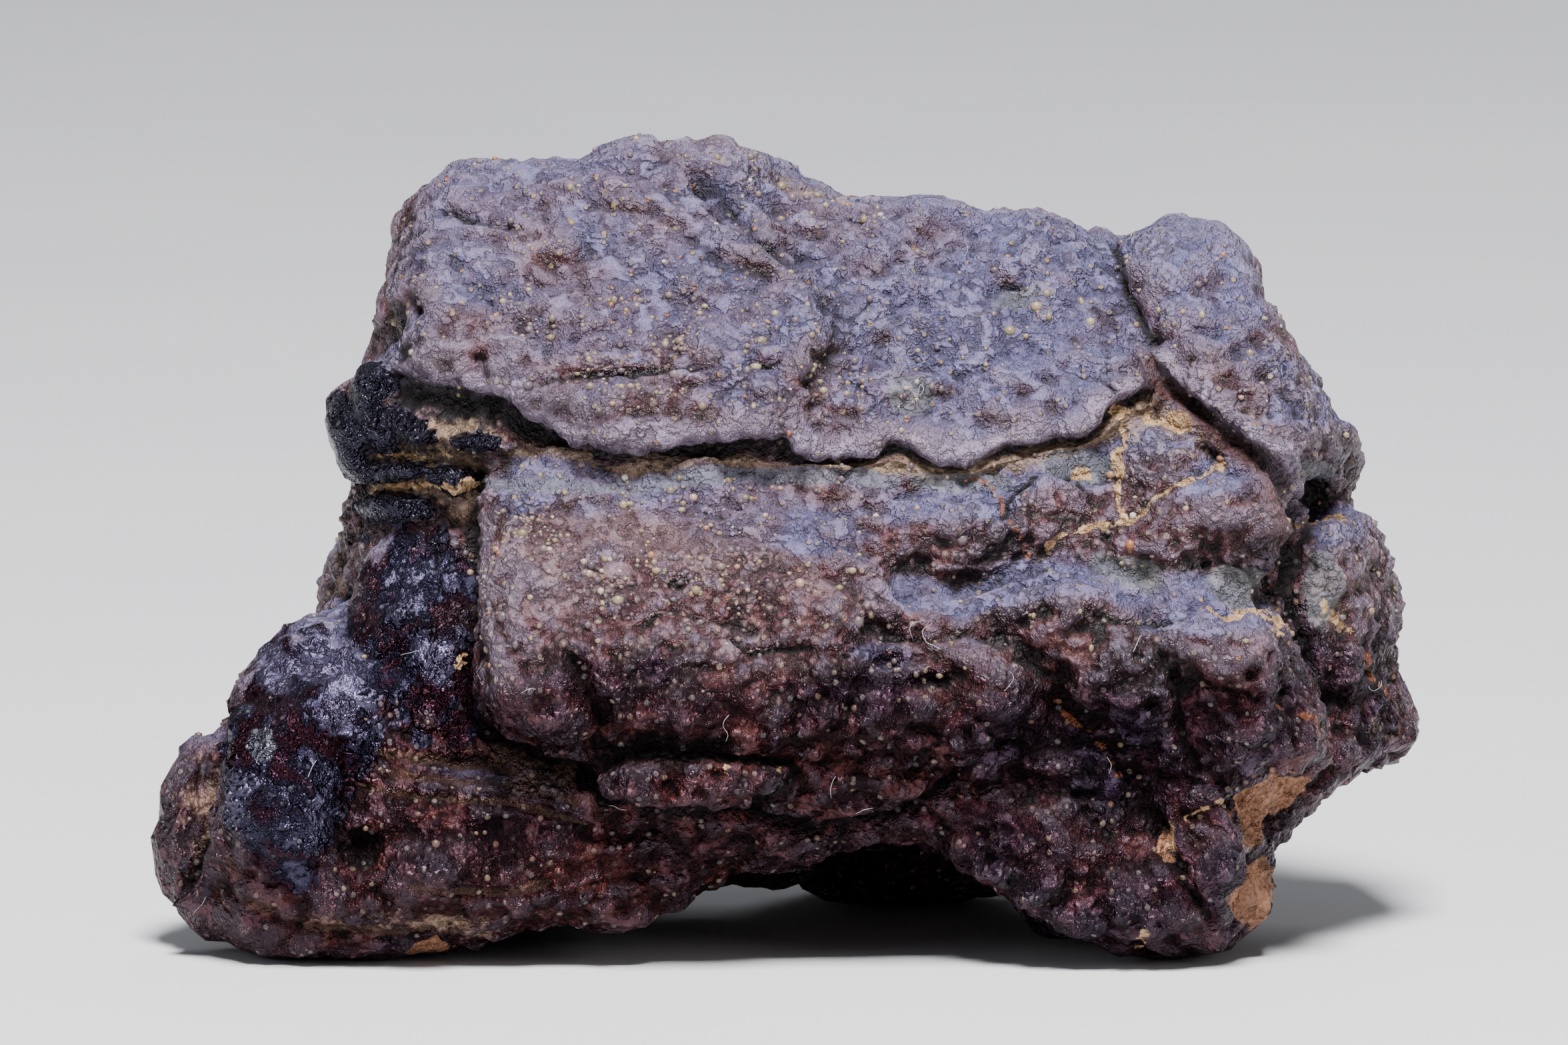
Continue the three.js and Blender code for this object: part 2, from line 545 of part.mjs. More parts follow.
const crust = new THREE.MeshStandardMaterial({ color: COLOUR, roughness: 0.55, metalness: 0.1 });
const meteorite = new THREE.Mesh(stand(wrappedStone()), crust);
meteorite.name = "meteorite";

const group = new THREE.Group();
group.add(meteorite);

export default group;
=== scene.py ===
# %% [markdown]
# # A mesosiderite meteorite
# Mesosiderites are mixtures of metal and rock that fell from space. This one has lain in the ground for
# a long time. Its skin is a thin dark brown crust with a bluish sheen on the faces that looked up, partly
# patina and partly a painted sheen of the light above, tan dust in the ledges, cream veins of lime in the
# cracks, and sand grains stuck on all over.
# The imported model gives the big shape. This script adds everything finer: a smooth dense surface with
# pits, cracks and wrinkles, a layered material, sand grains and a few fibres of lint. The plan is to work
# out one number per point for each kind of surface, and to let those numbers drive both the relief and the
# material, so that a crack gets painted shade exactly where it is deep.

# %% Load the imported model
import math
import random

import bpy
import numpy as np
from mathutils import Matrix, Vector, noise
from mathutils.bvhtree import BVHTree


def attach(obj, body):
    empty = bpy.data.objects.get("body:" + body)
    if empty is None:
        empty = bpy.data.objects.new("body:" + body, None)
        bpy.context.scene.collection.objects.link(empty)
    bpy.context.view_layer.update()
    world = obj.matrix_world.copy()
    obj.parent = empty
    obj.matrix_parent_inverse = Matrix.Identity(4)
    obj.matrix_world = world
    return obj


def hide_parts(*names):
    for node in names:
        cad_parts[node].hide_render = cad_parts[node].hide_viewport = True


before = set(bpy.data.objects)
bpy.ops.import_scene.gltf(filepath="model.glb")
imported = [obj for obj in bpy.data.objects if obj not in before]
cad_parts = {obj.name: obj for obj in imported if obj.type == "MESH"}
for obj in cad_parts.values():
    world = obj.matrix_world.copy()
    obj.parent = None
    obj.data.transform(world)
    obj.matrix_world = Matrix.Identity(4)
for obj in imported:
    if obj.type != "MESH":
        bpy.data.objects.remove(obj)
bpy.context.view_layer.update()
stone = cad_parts["meteorite"]
print("the packed stone has", len(stone.data.polygons), "triangles")

# %% [markdown]
# ## The front view
# Marks such as cracks and veins are placed as seen from the front, because that is how they are read off
# the stone: x to the right and y up, in millimetres. The front view looks 8 degrees down on the resting
# stone, so one small turn changes between that view and the frame in which the stone stands.

# %% Turn between the front view and the standing stone
MM = 0.001
LEAN = math.radians(8)
GROUND = 0.42
MIDDLE = (-0.092, 1.891)


def to_front(points):
    """Front view places, in mm, of points of the standing stone, in metres."""
    x, y, z = (points / MM).T
    y = y + MIDDLE[1]
    z = z + GROUND
    return np.stack([x + MIDDLE[0], y * math.sin(LEAN) + z * math.cos(LEAN),
                     z * math.sin(LEAN) - y * math.cos(LEAN)], 1)


def from_front(x, y, z):
    """A point of the standing stone, in metres, from its front view place in mm."""
    return Vector((x - MIDDLE[0], y * math.sin(LEAN) - z * math.cos(LEAN) - MIDDLE[1],
                   y * math.cos(LEAN) + z * math.sin(LEAN) - GROUND)) * MM


print("the middle of the front view is at", [round(c, 4) for c in from_front(0, 0, 0)], "metres")

# %% [markdown]
# ## Camera
# A long lens far away keeps the stone's proportions, as in a close-up photograph of a small specimen.

# %% Place the camera
VIEW_WIDTH = 39.2
DISTANCE = 392
AIM = (-0.27, 10.88)
SENSOR = 36
view_direction = from_front(0, 0, 0) - from_front(0, 0, 1)
view_direction.normalize()
camera = bpy.data.objects.new("camera", bpy.data.cameras.new("camera"))
camera.data.sensor_width = SENSOR
camera.data.lens = SENSOR * DISTANCE / VIEW_WIDTH
camera.data.clip_start = 0.01
camera.location = from_front(*AIM, DISTANCE)
camera.rotation_euler = view_direction.to_track_quat("-Z", "Y").to_euler()
bpy.context.collection.objects.link(camera)
bpy.context.scene.camera = camera
print("the camera's lens is", round(camera.data.lens), "mm long")

# %% [markdown]
# ## A dense skin
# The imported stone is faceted. Loop subdivision, the usual rule for triangles, splits each one into four and
# rounds the result. Two rounds give points about 0.16 mm apart, enough for pits and cracks. Rounding
# also softens ridges, so the points are then pushed away from their local average a little, like
# sharpening a picture.


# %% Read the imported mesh
def read_mesh(mesh):
    """Points and triangles of a mesh, with points in the same place joined."""
    places = np.empty(len(mesh.vertices) * 3)
    mesh.vertices.foreach_get("co", places)
    mesh.calc_loop_triangles()
    corners = np.empty(len(mesh.loop_triangles) * 3, int)
    mesh.loop_triangles.foreach_get("vertices", corners)
    keys, first, same = np.unique(np.round(places.reshape(-1, 3) / 1e-7).astype(int), axis=0,
                                  return_index=True, return_inverse=True)
    faces = same.reshape(-1)[corners].reshape(-1, 3)
    distinct = (faces[:, 0] != faces[:, 1]) & (faces[:, 1] != faces[:, 2]) & (faces[:, 2] != faces[:, 0])
    return places.reshape(-1, 3)[first], faces[distinct]


points, faces = read_mesh(stone.data)
print("the packed stone has", len(points), "points")


# %% Loop subdivision
def edges_of(faces):
    """Each edge once, which edge each side of a triangle is, and the corner across from each side."""
    sides = np.concatenate([faces[:, [0, 1]], faces[:, [1, 2]], faces[:, [2, 0]]])
    across = np.concatenate([faces[:, 2], faces[:, 0], faces[:, 1]])
    edges, side_edge = np.unique(np.sort(sides, 1), axis=0, return_inverse=True)
    return edges, side_edge.reshape(-1), across


def gather(index, values, size):
    """Sum of the values that share an index."""
    return np.stack([np.bincount(index, column, size) for column in values.T], 1)


def loop_subdivide(points, faces):
    edges, side_edge, across = edges_of(faces)
    ends = points[edges[:, 0]] + points[edges[:, 1]]
    middles = ends * 3 / 8 + gather(side_edge, points[across], len(edges)) / 8
    both = np.concatenate([edges, edges[:, ::-1]])
    valence = np.bincount(both[:, 0], minlength=len(points))[:, None]
    around = gather(both[:, 0], points[both[:, 1]], len(points))
    share = np.where(valence == 3, 3 / 16, 3 / (8 * valence))
    moved = points * (1 - valence * share) + around * share
    ab, bc, ca = (len(points) + side_edge).reshape(3, -1)
    a, b, c = faces.T
    finer = [np.stack(triangle, 1) for triangle in ((a, ab, ca), (ab, b, bc), (ca, bc, c), (ab, bc, ca))]
    return np.concatenate([moved, middles]), np.concatenate(finer)


ROUNDS = 2
for round_number in range(ROUNDS):
    points, faces = loop_subdivide(points, faces)
print("the skin has", len(points), "points and", len(faces), "triangles")


# %% Average and sharpen
edges = edges_of(faces)[0]
both_ways = np.concatenate([edges, edges[:, ::-1]])
neighbours = np.bincount(both_ways[:, 0])[:, None]


def blurred(values, rounds):
    """Values averaged with their neighbours, as many times as asked."""
    for step in range(rounds):
        around = gather(both_ways[:, 0], values[both_ways[:, 1]], len(values)) / neighbours
        values = values * 0.4 + around * 0.6
    return values


def normals_of(points):
    a, b, c = (points[faces[:, k]] for k in range(3))
    area_normals = np.cross(b - a, c - a)
    total = sum(gather(faces[:, k], area_normals, len(points)) for k in range(3))
    return total / np.linalg.norm(total, axis=1)[:, None]


SHARPENING = 0.7
points = points + SHARPENING * (points - blurred(points, 14))
extent = np.ptp(points, axis=0) / MM
print("the sharpened skin is", " x ".join(str(round(float(s), 1)) for s in extent), "mm")

# %% [markdown]
# ## Where things are
# Most of the work is saying where each kind of surface is. Each helper gives one number per point of the
# skin: 1 where the thing is, 0 where it isn't, and a soft edge between. Marks read off the front
# only go on what can be seen from the front.


# %% Which way the skin faces
def smooth(values, low, high):
    """0 below low, 1 above high and a smooth rise between them."""
    share = np.clip((values - low) / (high - low), 0, 1)
    return share * share * (3 - 2 * share)


def max_of(masks):
    return np.maximum.reduce(list(masks))


normals = normals_of(blurred(points, 6))
seen = to_front(points)
X, Y, Z = seen.T
facing = -normals @ np.array(view_direction)
in_front = smooth(facing, -0.15, 0.2) * smooth(Z, -2.5, 0.5)
upward = normals[:, 2]
print(round(100 * float((in_front > 0.5).mean())), "percent of the points show from the front")

# %% [markdown]
# ## Random lumps
# Nothing on a weathered stone has a clean edge. Smooth noise makes lumps, and distances to scattered seeds
# make cells like dried mud. A little of the same noise is added to every distance, so edges wander.


# %% Lumps, cells and ragged edges
def bumps(size, seed, places=None):
    """Smooth random values from about -1 to 1 in lumps of the given size in mm."""
    offset = Vector((seed * 3.7, seed * 1.3, seed * 5.9))
    places = seen if places is None else places
    return np.array([noise.noise(Vector(p) / size + offset) for p in places])


def cells(size, seed):
    """Distance to the nearest and second nearest of random scattered seeds, in cells of the given size."""
    offset = Vector((seed * 2.1, seed * 4.3, seed * 0.7))
    pairs = np.array([noise.voronoi(Vector(p) / size + offset)[0][:2] for p in seen])
    return pairs[:, 0], pairs[:, 1]


WANDER = 0.09
ragged = bumps(0.7, 3) + 0.6 * bumps(0.33, 4)
print("edges wander by up to", round(WANDER * float(np.abs(ragged).max()), 2), "mm")


# %% Distance to a path
def measured(path):
    """Distance in mm, in the front view, from every point to a path, negative to the right of the path."""
    nearest, side = np.full(len(X), np.inf), np.ones(len(X))
    for (ax, ay), (bx, by) in zip(path, path[1:]):
        dx, dy = bx - ax, by - ay
        share = np.clip(((X - ax) * dx + (Y - ay) * dy) / (dx * dx + dy * dy), 0, 1)
        away = np.hypot(X - ax - share * dx, Y - ay - share * dy)
        side = np.where(away < nearest, np.sign(dx * (Y - ay) - dy * (X - ax)), side)
        nearest = np.minimum(nearest, away)
    return nearest * side + WANDER * ragged


def along(paths, width):
    """1 on any of the paths, fading out over about their width."""
    return left_of(paths, 0, width)


def left_of(paths, distance, width):
    """1 in a band that runs beside the paths, this far to their left, or to their right if negative."""
    return max_of(np.exp(-((measured(path) - distance) / width) ** 2) for path in paths) * in_front


# %% Distance into an oval
def oval(spot):
    """0 at the middle of an oval (x, y, half width, half height, turn in degrees) and 1 on its edge."""
    x, y, half_width, half_height, turn = spot
    c, s = math.cos(math.radians(turn)), math.sin(math.radians(turn))
    return np.hypot(((X - x) * c + (Y - y) * s) / half_width, ((Y - y) * c - (X - x) * s) / half_height)


def domes_on(spots):
    """Half-ball profiles on ovals, 1 at their middles and 0 outside them."""
    return max_of(np.sqrt(np.clip(1 - oval(spot) ** 2, 0, 1)) for spot in spots) * in_front


def patches(spots, softness=0.35):
    """1 inside each oval, with a ragged soft edge."""
    edges = (oval(spot) + 0.35 * ragged for spot in spots)
    return max_of(1 - smooth(edge, 1 - softness, 1 + softness) for edge in edges) * in_front


# %% [markdown]
# ## Marks read off the stone
# Paths and ovals in the front view say where the lip of the ledge, the seams between the blocks, the
# cracks, the veins and the patches are. Paths are lists of (x, y) in mm. Along a step the raised side is on
# the left, for someone who walks the path. Ovals are (x, y, half width, half height, turn in degrees).

# %% Ledge, steps and seams
# the lip of the slab, from left to right
LEDGE = [
    (-9.7, 14.5), (-9.2, 14.25), (-8.2, 14.1), (-6.9, 13.85), (-6.5, 13.4), (-5.9, 13.05), (-4.9, 12.9),
    (-3.85, 12.65), (-2.7, 12.83), (-1, 12.95), (-0.35, 12.95), (0.25, 12.55), (1.8, 12.5), (2.35, 12.82),
    (3.05, 12.6), (3.65, 12.33), (4.8, 12.5), (5.25, 12.75), (6, 12.87), (7, 13.1), (7.9, 13.8),
    (8.9, 14.3),
]
# the lower edge of the shoulder
SHOULDER_EDGE = [
    (9.2, 14.7), (10, 13.8), (11, 13), (11.9, 12.2), (12.2, 11.2),
]
# narrow grooves between the blocks
SEAMS = [
    [(8.9, 15.3), (8.3, 16.5), (8, 17.7)],
    [(-4.8, 4.7), (-4.2, 5.15), (-3.4, 5.2), (-0.15, 5), (0.05, 4.75), (-0.4, 4.3), (-1, 3.8), (-3.6, 3.7),
     (-4.6, 4)],
    [(9.3, 7.2), (9.5, 5.8), (9.9, 4.9)],
    [(9.1, 3.5), (9.3, 2.8), (9.7, 1.9), (10.3, 1.2)],
    [(12.2, 10.8), (12.1, 9.3), (12.7, 7.6), (13.2, 6.2)],
    [(-11.2, 5.8), (-11.1, 4.4), (-11.3, 3)],
    [(-1.2, 3.7), (0.5, 3.5), (2.2, 3.6), (3.4, 4.2), (4.2, 4.9)],
]
# edges where one block stands proud of the next
STEPS = [
    LEDGE,
    SHOULDER_EDGE,
    [(-7.75, 12.2), (-7.8, 9), (-7.9, 7.2), (-8, 6.1), (-7, 5.5), (-5.4, 4.9), (-4.8, 4.3)],
    [(-13.9, 5.9), (-14.1, 4.4), (-14.4, 2.9), (-14.9, 1.9)],
]
# lower edges of the same kind
MILD_STEPS = [
    [(-0.4, 12.95), (-0.3, 14), (0.6, 14.7), (0.95, 15.6), (0.9, 16.1), (0.35, 16.7), (-0.45, 17.5),
     (-1, 18.15), (-2.4, 19.2)],
    [(5.2, 8.1), (6.2, 7), (7.2, 5.9), (8.3, 5), (8.9, 3.7), (9.3, 2.7)],
    [(-2.4, 17.9), (-1.6, 17.4), (-0.7, 17.2)],
    [(3.2, 8.2), (4, 7.2), (5.4, 6.8), (6.3, 6.9)],
    [(-5.3, 7.5), (-4.6, 6.2), (-4.7, 5.2)],
]
# the deepest parts under the lip and under the belly, which also get painted shade
OVERHANG = [
    [(-9.6, 13.95), (-8.6, 13.75), (-7.4, 13.75), (-6.7, 13.35), (-5.9, 12.9)],
    [(-4.8, 5), (-3.6, 5.5), (-1.8, 5.4)],
]
print("there are", len(STEPS + MILD_STEPS), "steps and", len(SEAMS), "seams")

# %% Cracks, wrinkles and dark bands
# thin open cracks
CRACKS = [
    [(-6.25, 14.32), (-4.65, 14.52), (-3.35, 14.6), (-1.75, 14.72), (-0.4, 14.85)],
    [(-8.75, 18.6), (-7.03, 18.15), (-6.44, 17.6)],
    [(-9.3, 17.85), (-9.57, 16.9), (-9.4, 16)],
    [(-9.85, 18.2), (-9.9, 17), (-9.8, 15.8), (-9.7, 14.8)],
    [(7.75, 15.3), (7.7, 14.7), (7.8, 14.1)],
    [(8.9, 15.2), (9.3, 14.4), (10.1, 13.4)],
    [(-3.9, 8.3), (-3, 8.7), (-2.2, 8.4)],
    [(-4.7, 6.3), (-4.8, 5.6), (-4.6, 5.1)],
    [(4.4, 8.2), (3.4, 7.9), (2.4, 8)],
    [(7.2, 8.7), (8.6, 8.3), (9.9, 8.6)],
    [(10.2, 6.9), (11.2, 6.6), (12.2, 6.7)],
    [(6.9, 4.2), (7.5, 3.3), (8, 2.9)],
    [(-8.9, 10.2), (-8.8, 8.6), (-9.2, 7.3)],
    [(-2.6, 19.3), (-2.2, 18.8), (-1.3, 18), (-0.3, 17.8)],
    [(5.2, 10.4), (5.2, 11.4), (5.9, 12), (6.9, 12), (7.4, 11.2)],
    [(7.6, 10.6), (7.9, 9.9), (8.3, 10.2)],
    [(8.2, 10.7), (8.4, 10), (9.4, 9.7), (10.6, 9.9), (11.6, 9.5), (11.9, 9)],
    [(11.7, 9.6), (11.6, 8.8), (11.7, 7.8), (11.2, 7.1)],
    [(-1.7, 8), (-1.1, 7.7), (0.2, 7.8), (1.3, 7.6)],
    [(12.9, 9.9), (13.3, 9.2), (14.2, 8.9)],
    [(13.5, 7.5), (14.2, 7.2), (14.9, 7)],
]
# soft folds on the slab
WRINKLES = [
    [(-6.25, 18.8), (-6.07, 18.2), (-5.65, 17.85)],
    [(-7.15, 18.15), (-6.8, 17.9), (-6.6, 17.7), (-6.3, 17.85)],
    [(-5, 18.7), (-4.6, 18.6), (-4.45, 18.35), (-4.6, 18.15), (-5, 18.05)],
    [(-8.3, 16.7), (-7.5, 16.6)],
    [(-3.5, 18.6), (-3.16, 18.5), (-3.13, 18.28), (-3.4, 18.05), (-3.63, 18.2)],
    [(-0.4, 13.8), (0.3, 14.3), (0.5, 14.9)],
    [(2.4, 17.4), (3.3, 17.1), (4.2, 17.3)],
    [(5.6, 15.4), (6.3, 15.1), (7.1, 15.3)],
    [(-3.6, 16.2), (-3.1, 15.7), (-2.1, 15.5)],
    [(1.9, 16.2), (2.2, 15.4), (1.8, 14.6)],
    [(3.9, 15.3), (4.4, 14.7), (5.3, 14.6)],
    [(6.2, 14.4), (6.6, 13.9), (7.3, 13.8)],
    [(0.8, 18.6), (1.4, 17.9), (2.3, 18)],
    [(-8.2, 15.3), (-7.8, 15.35), (-7.5, 15), (-7.7, 14.6)],
    [(4, 18.3), (4.6, 17.8), (5.6, 17.7)],
    [(-1.3, 16.4), (-0.6, 16.9), (0.1, 16.7)],
    [(-6.2, 15.9), (-5.3, 15.7), (-4.6, 15.9)],
]
# dark folded bands at the slab's left edge and crest
DARK_BANDS = [
    [(-9.75, 18.5), (-9.6, 17.2), (-9.5, 16), (-9.4, 15), (-9.1, 14.4)],
    [(-2.3, 19.4), (-1.3, 18.3), (0, 17.3)],
    [(-9.5, 14.4), (-8.4, 14.25), (-7.2, 14.1)],
]
print("there are", len(CRACKS), "cracks and", len(WRINKLES), "wrinkles")

# %% Veins, threads, layers and dust
# cream veins of lime
VEINS = [
    [(7.9, 13.7), (8, 13.3), (8.2, 12.75), (8.1, 12.4), (8.03, 12), (7.95, 11.55), (8.15, 10.85)],
    [(8.7, 13.35), (9.5, 13.2), (10, 13), (10.3, 12.7), (10.6, 12.35)],
    [(10.6, 12.2), (10.07, 12), (9.6, 11.75), (9.2, 11.65), (8.8, 11.35), (8.6, 11.1), (8.2, 10.9),
     (7.6, 10.75), (6.95, 10.7), (6.55, 10.6), (6.25, 10.35), (6.2, 10.05)],
    [(10.15, 8.7), (10.55, 8.45), (10.95, 8.53), (11.1, 8.85), (11.5, 8.7), (11.9, 8.45), (11.8, 8.05)],
    [(12.3, 10.8), (12.9, 10.9), (13.6, 11)],
    [(13.1, 8.9), (13.4, 8.5), (13.8, 8.1)],
    [(9.3, 2.6), (9.23, 3.45), (9.67, 3.6), (10.2, 3.85)],
    [(9.16, 1.8), (8.65, 0.9), (8.46, 0.3)],
    [(-7.9, 11.75), (-9.2, 11.8), (-10.6, 11.7)],
    [(-10.4, 12.6), (-9.2, 12.5), (-8.4, 12.6)],
]
# thin red threads of rust
THREADS = [
    [(3.93, 12.04), (4.73, 11.8), (5.05, 11.5), (5.2, 11.08), (5.53, 10.6), (5.7, 10.12), (5.85, 9.8)],
    [(11.8, 10.1), (11.75, 9.5), (11.85, 9.15)],
    [(14.2, 7.6), (14.45, 6.85), (14.9, 6.5)],
    [(11.6, 6.6), (12.06, 6.3), (12.6, 5.98), (12.7, 5.6)],
    [(6.3, 6.5), (7.1, 5.9), (7.7, 5.1), (8, 4.6)],
]
# curved layers of the left foot and the belly
STRATA = [
    [(-11, 5.3), (-9.5, 5.1), (-7.6, 4.9), (-5.6, 4.4)],
    [(-10.8, 4.9), (-9.2, 4.6), (-7.2, 4.45), (-5.4, 4)],
    [(-10.9, 4.4), (-9, 4.1), (-7, 4), (-5.2, 3.5)],
    [(-8.6, 5.5), (-7, 5.1), (-5.6, 4.7)],
    [(-13.5, 1.6), (-12, 0.9), (-10, 0.8), (-8.2, 1.1)],
    [(-9.4, 1.9), (-7.6, 1.7), (-6.2, 2)],
]
# the dusty shelf of the ledge
DUSTY = [
    [(-9, 13.2), (-7, 12.9), (-5.5, 12.5), (-3.5, 12.3), (-1, 12.45), (1, 12.2), (3, 12.2), (5, 12.3),
     (6.5, 12.6), (7.6, 13.2), (9, 13.9)],
]
# the smooth slate band along the top of the main block
BAND = [
    [(-7.7, 11.85), (-6.5, 11.75), (-5.2, 11.65), (-3.8, 11.7), (-2.4, 11.83), (-1, 11.95), (0, 12),
     (1.2, 11.9), (2.4, 11.74)],
]
print("there are", len(VEINS), "veins")

# %% Pits, knobs and glossy parts
# larger pits
PITS = [
    (4.3, 9.35, 0.75, 0.32, 0), (11.2, 9.2, 0.7, 0.4, 10), (5.3, 16.75, 0.4, 0.12, -5),
    (-7.8, 14.95, 0.2, 0.18, 0), (6.1, 8.6, 0.5, 0.22, 20), (8.6, 9.6, 0.7, 0.25, -15),
    (-5.2, 4.6, 0.35, 0.3, 0), (-2.9, 9.4, 0.25, 0.15, 10), (-10.7, 2.9, 0.35, 0.45, 0),
    (3.3, 6.9, 0.5, 0.3, 0), (2.2, 7.4, 0.4, 0.2, 0),
]
# rounded glossy knobs at the left end of the ledge
KNOBS = [
    (-9.8, 11.25, 1, 0.42, -3), (-8.45, 11.95, 0.62, 0.38, -12), (-9.9, 12.15, 1, 0.28, 4),
    (-10.95, 13.1, 0.5, 1, 8), (-10.25, 13.3, 0.45, 0.9, 24), (-9.4, 13.3, 0.8, 0.32, -30),
    (-10.3, 14.25, 0.5, 0.55, -10), (-7.8, 12.85, 0.6, 0.34, -10),
]
# the column and the front of the spur
GLOSSY = [
    (-9.4, 8.4, 1.5, 2.6, 0), (-12.2, 5.9, 1.9, 2.2, -25), (-12.4, 3.6, 1.3, 1.6, 0),
    (-8.3, 6.6, 0.6, 1.2, 0),
]
# faces that are less lumpy than the rest
CALM = [
    (-3.6, 8.6, 4.8, 3.4, 0), (-8, 3, 3.5, 2, 0), (-9.4, 8.4, 1.4, 2.4, 0), (-12.2, 5.6, 1.6, 2, -25),
]
# lavender patches of painted sheen on the spur and the column
SHEEN = [
    (-11.4, 7.4, 1.1, 0.6, 0), (-11.2, 6.4, 0.5, 0.7, 0), (-8.8, 7.5, 0.5, 0.6, 0),
    (-12.9, 7.2, 0.6, 0.5, -40),
]
# the dusty gap between the knobs, the dark socket at the right end and the painted shade of its mouth, and a
# chip
KNOB_GAP = [[(-9.9, 12), (-8.4, 12.4)]]
SOCKET = [(12.95, 11.5, 0.6, 0.45, 0)]
SOCKET_MOUTH = [(12.95, 11.45, 0.5, 0.35, 0)]
CHIP = [(-13.07, 5.4, 0.34, 0.38, 0)]
print("there are", len(KNOBS), "knobs and", len(PITS), "large pits")

# %% Patches of colour
# orange rust
RUSTY = [
    (11.6, 4.1, 1.0, 0.5, 30), (11.3, 3.4, 0.35, 0.6, -15), (11.2, 1.75, 0.5, 0.8, -25),
    (9.2, 2.9, 0.22, 0.45, 0), (-9.1, 0.3, 0.6, 0.3, 0), (2.2, 1.9, 1.2, 0.4, 0),
]
# spots of bare lime
PALE = [
    (9.5, 13.25, 0.3, 0.2, 0), (8, 13.55, 0.22, 0.25, 0), (11.3, 8.75, 0.55, 0.13, -5),
    (7.05, 12.1, 0.22, 0.14, 0), (8.05, 12.3, 0.12, 0.35, 0), (9.6, 11.78, 0.35, 0.1, 20),
    (8.2, 10.88, 0.25, 0.12, 0), (13.4, 8.5, 0.22, 0.16, -30), (13.4, 11, 0.4, 0.14, 0),
    (-1.7, 4.85, 0.1, 0.1, 0), (-0.4, 4.8, 0.1, 0.1, 0), (-8.27, 7.44, 0.12, 0.25, -20),
    (-8.1, 11.9, 0.15, 0.12, 0), (10.4, 4, 0.15, 0.12, 0),
]
# greenish grey chips
GREENISH = [
    (8.3, 9.6, 1.1, 0.4, -15), (2.9, 13.95, 0.6, 0.5, 0), (5.4, 16.35, 0.55, 0.28, 0),
    (10.9, 9.3, 0.9, 0.5, 0), (4.1, 11.8, 1.3, 0.25, 0), (7, 12.2, 0.9, 0.35, 0), (13.1, 9.3, 0.5, 0.9, 0),
    (12.8, 12.2, 0.5, 0.3, 0),
]
# patches with more slate blue
BLUE = [
    (1.2, 10.3, 1.3, 0.8, -20), (3.4, 10.8, 1, 0.7, 0), (-7.3, 9.3, 0.35, 0.8, 0),
    (-6.9, 11.4, 0.8, 0.3, 0), (9.6, 10.8, 1, 0.5, 0), (12.9, 12.6, 1.2, 1, 0), (9.9, 8.7, 1.6, 0.5, 0),
]
# places where sand grains are thick
SANDY = [
    (-3.6, 15.6, 3.4, 1.2, -5), (-1, 14.2, 4, 0.9, 0), (1.6, 13.7, 1.6, 0.7, 0), (-3, 10, 4.5, 1.6, 0),
    (-7, 2.3, 3, 1.2, 0), (0, 19.3, 2.5, 0.6, -20),
]
# light dust outside the ledge
TAN = [
    (-15, 3.2, 0.9, 2.3, 0), (-9.3, 12.2, 1.7, 1.3, 0), (-8.2, 11.2, 0.5, 0.5, 0), (13.6, 10.9, 1, 0.3, 0),
    (-11, 1.1, 2.8, 0.35, 0), (-8.2, 0.9, 1.5, 0.3, 0), (13.4, 8.8, 0.5, 0.7, 0), (-11.6, 10, 0.5, 1.6, 0),
    (9.2, 13, 1.4, 0.6, -20), (14.8, 5.8, 0.7, 0.5, 0), (0, 19.4, 2.3, 0.5, -20),
]
# the rosy face of the main block, and painted shade on shaded hollows, on the dark underside and on the sliver
# behind the spur
ROSY = [(-3.6, 9.6, 4.6, 1.5, 0), (-13.4, 5, 0.1, 0.1, 0)]
SHADED = [(8.4, 6.7, 3.2, 1.5, -30), (0.5, 5.3, 5, 0.8, 0), (-10, 4, 1.5, 2, 0)]
SHADED_UNDERSIDE = [(-1, 4.2, 4.5, 1.3, 0), (7, 1.6, 3.5, 1.6, 0)]
SHADED_SLIVER = [(-14.9, 3.2, 0.9, 2.4, 0)]
print("there are", len(RUSTY + PALE + GREENISH + BLUE + SANDY + TAN), "patches of colour")

# %% [markdown]
# ## Kinds of surface
# The slab on top is smoothest, as wind and sand have worn it, and the column and the knobs are glossy. Their
# masks come first, because the relief depends on them.

# %% Slab, knobs and glossy parts
slab = smooth(upward + 0.25 * bumps(2.2, 11), 0.3, 0.75)
patchy = smooth(bumps(2.2, 56), -0.35, 0.45)
knob_domes = domes_on(KNOBS)
knobs = smooth(knob_domes, 0.15, 0.4)
glossy = np.maximum(patches(GLOSSY), knobs)
rough = 1 - slab * (0.45 - 0.4 * patchy)
rough *= (1 - 0.7 * knobs) * (1 - 0.4 * patches(CALM, 0.4))
print("the slab covers", round(100 * float(slab.mean())), "percent of the skin")

# %% [markdown]
# ## Sculpt the skin
# Heights are in mm. Lumps of several sizes make the stone look weathered: coarse swellings, sharp folds,
# crumbs and fine grain. Folds come from the absolute value of noise, which has a crease where it is zero.

# %% Random relief
coarse = bumps(1.5, 51)
folds = np.abs(bumps(1.0, 52))
crumbs = np.abs(bumps(0.5, 53))
fine = bumps(0.3, 55)
flow = np.abs(bumps(0.9, 54, seen * (0.55, 1.6, 1)))
height = rough * (0.15 * coarse + 0.32 * folds + 0.24 * crumbs + 0.09 * fine + 0.2 * flow)

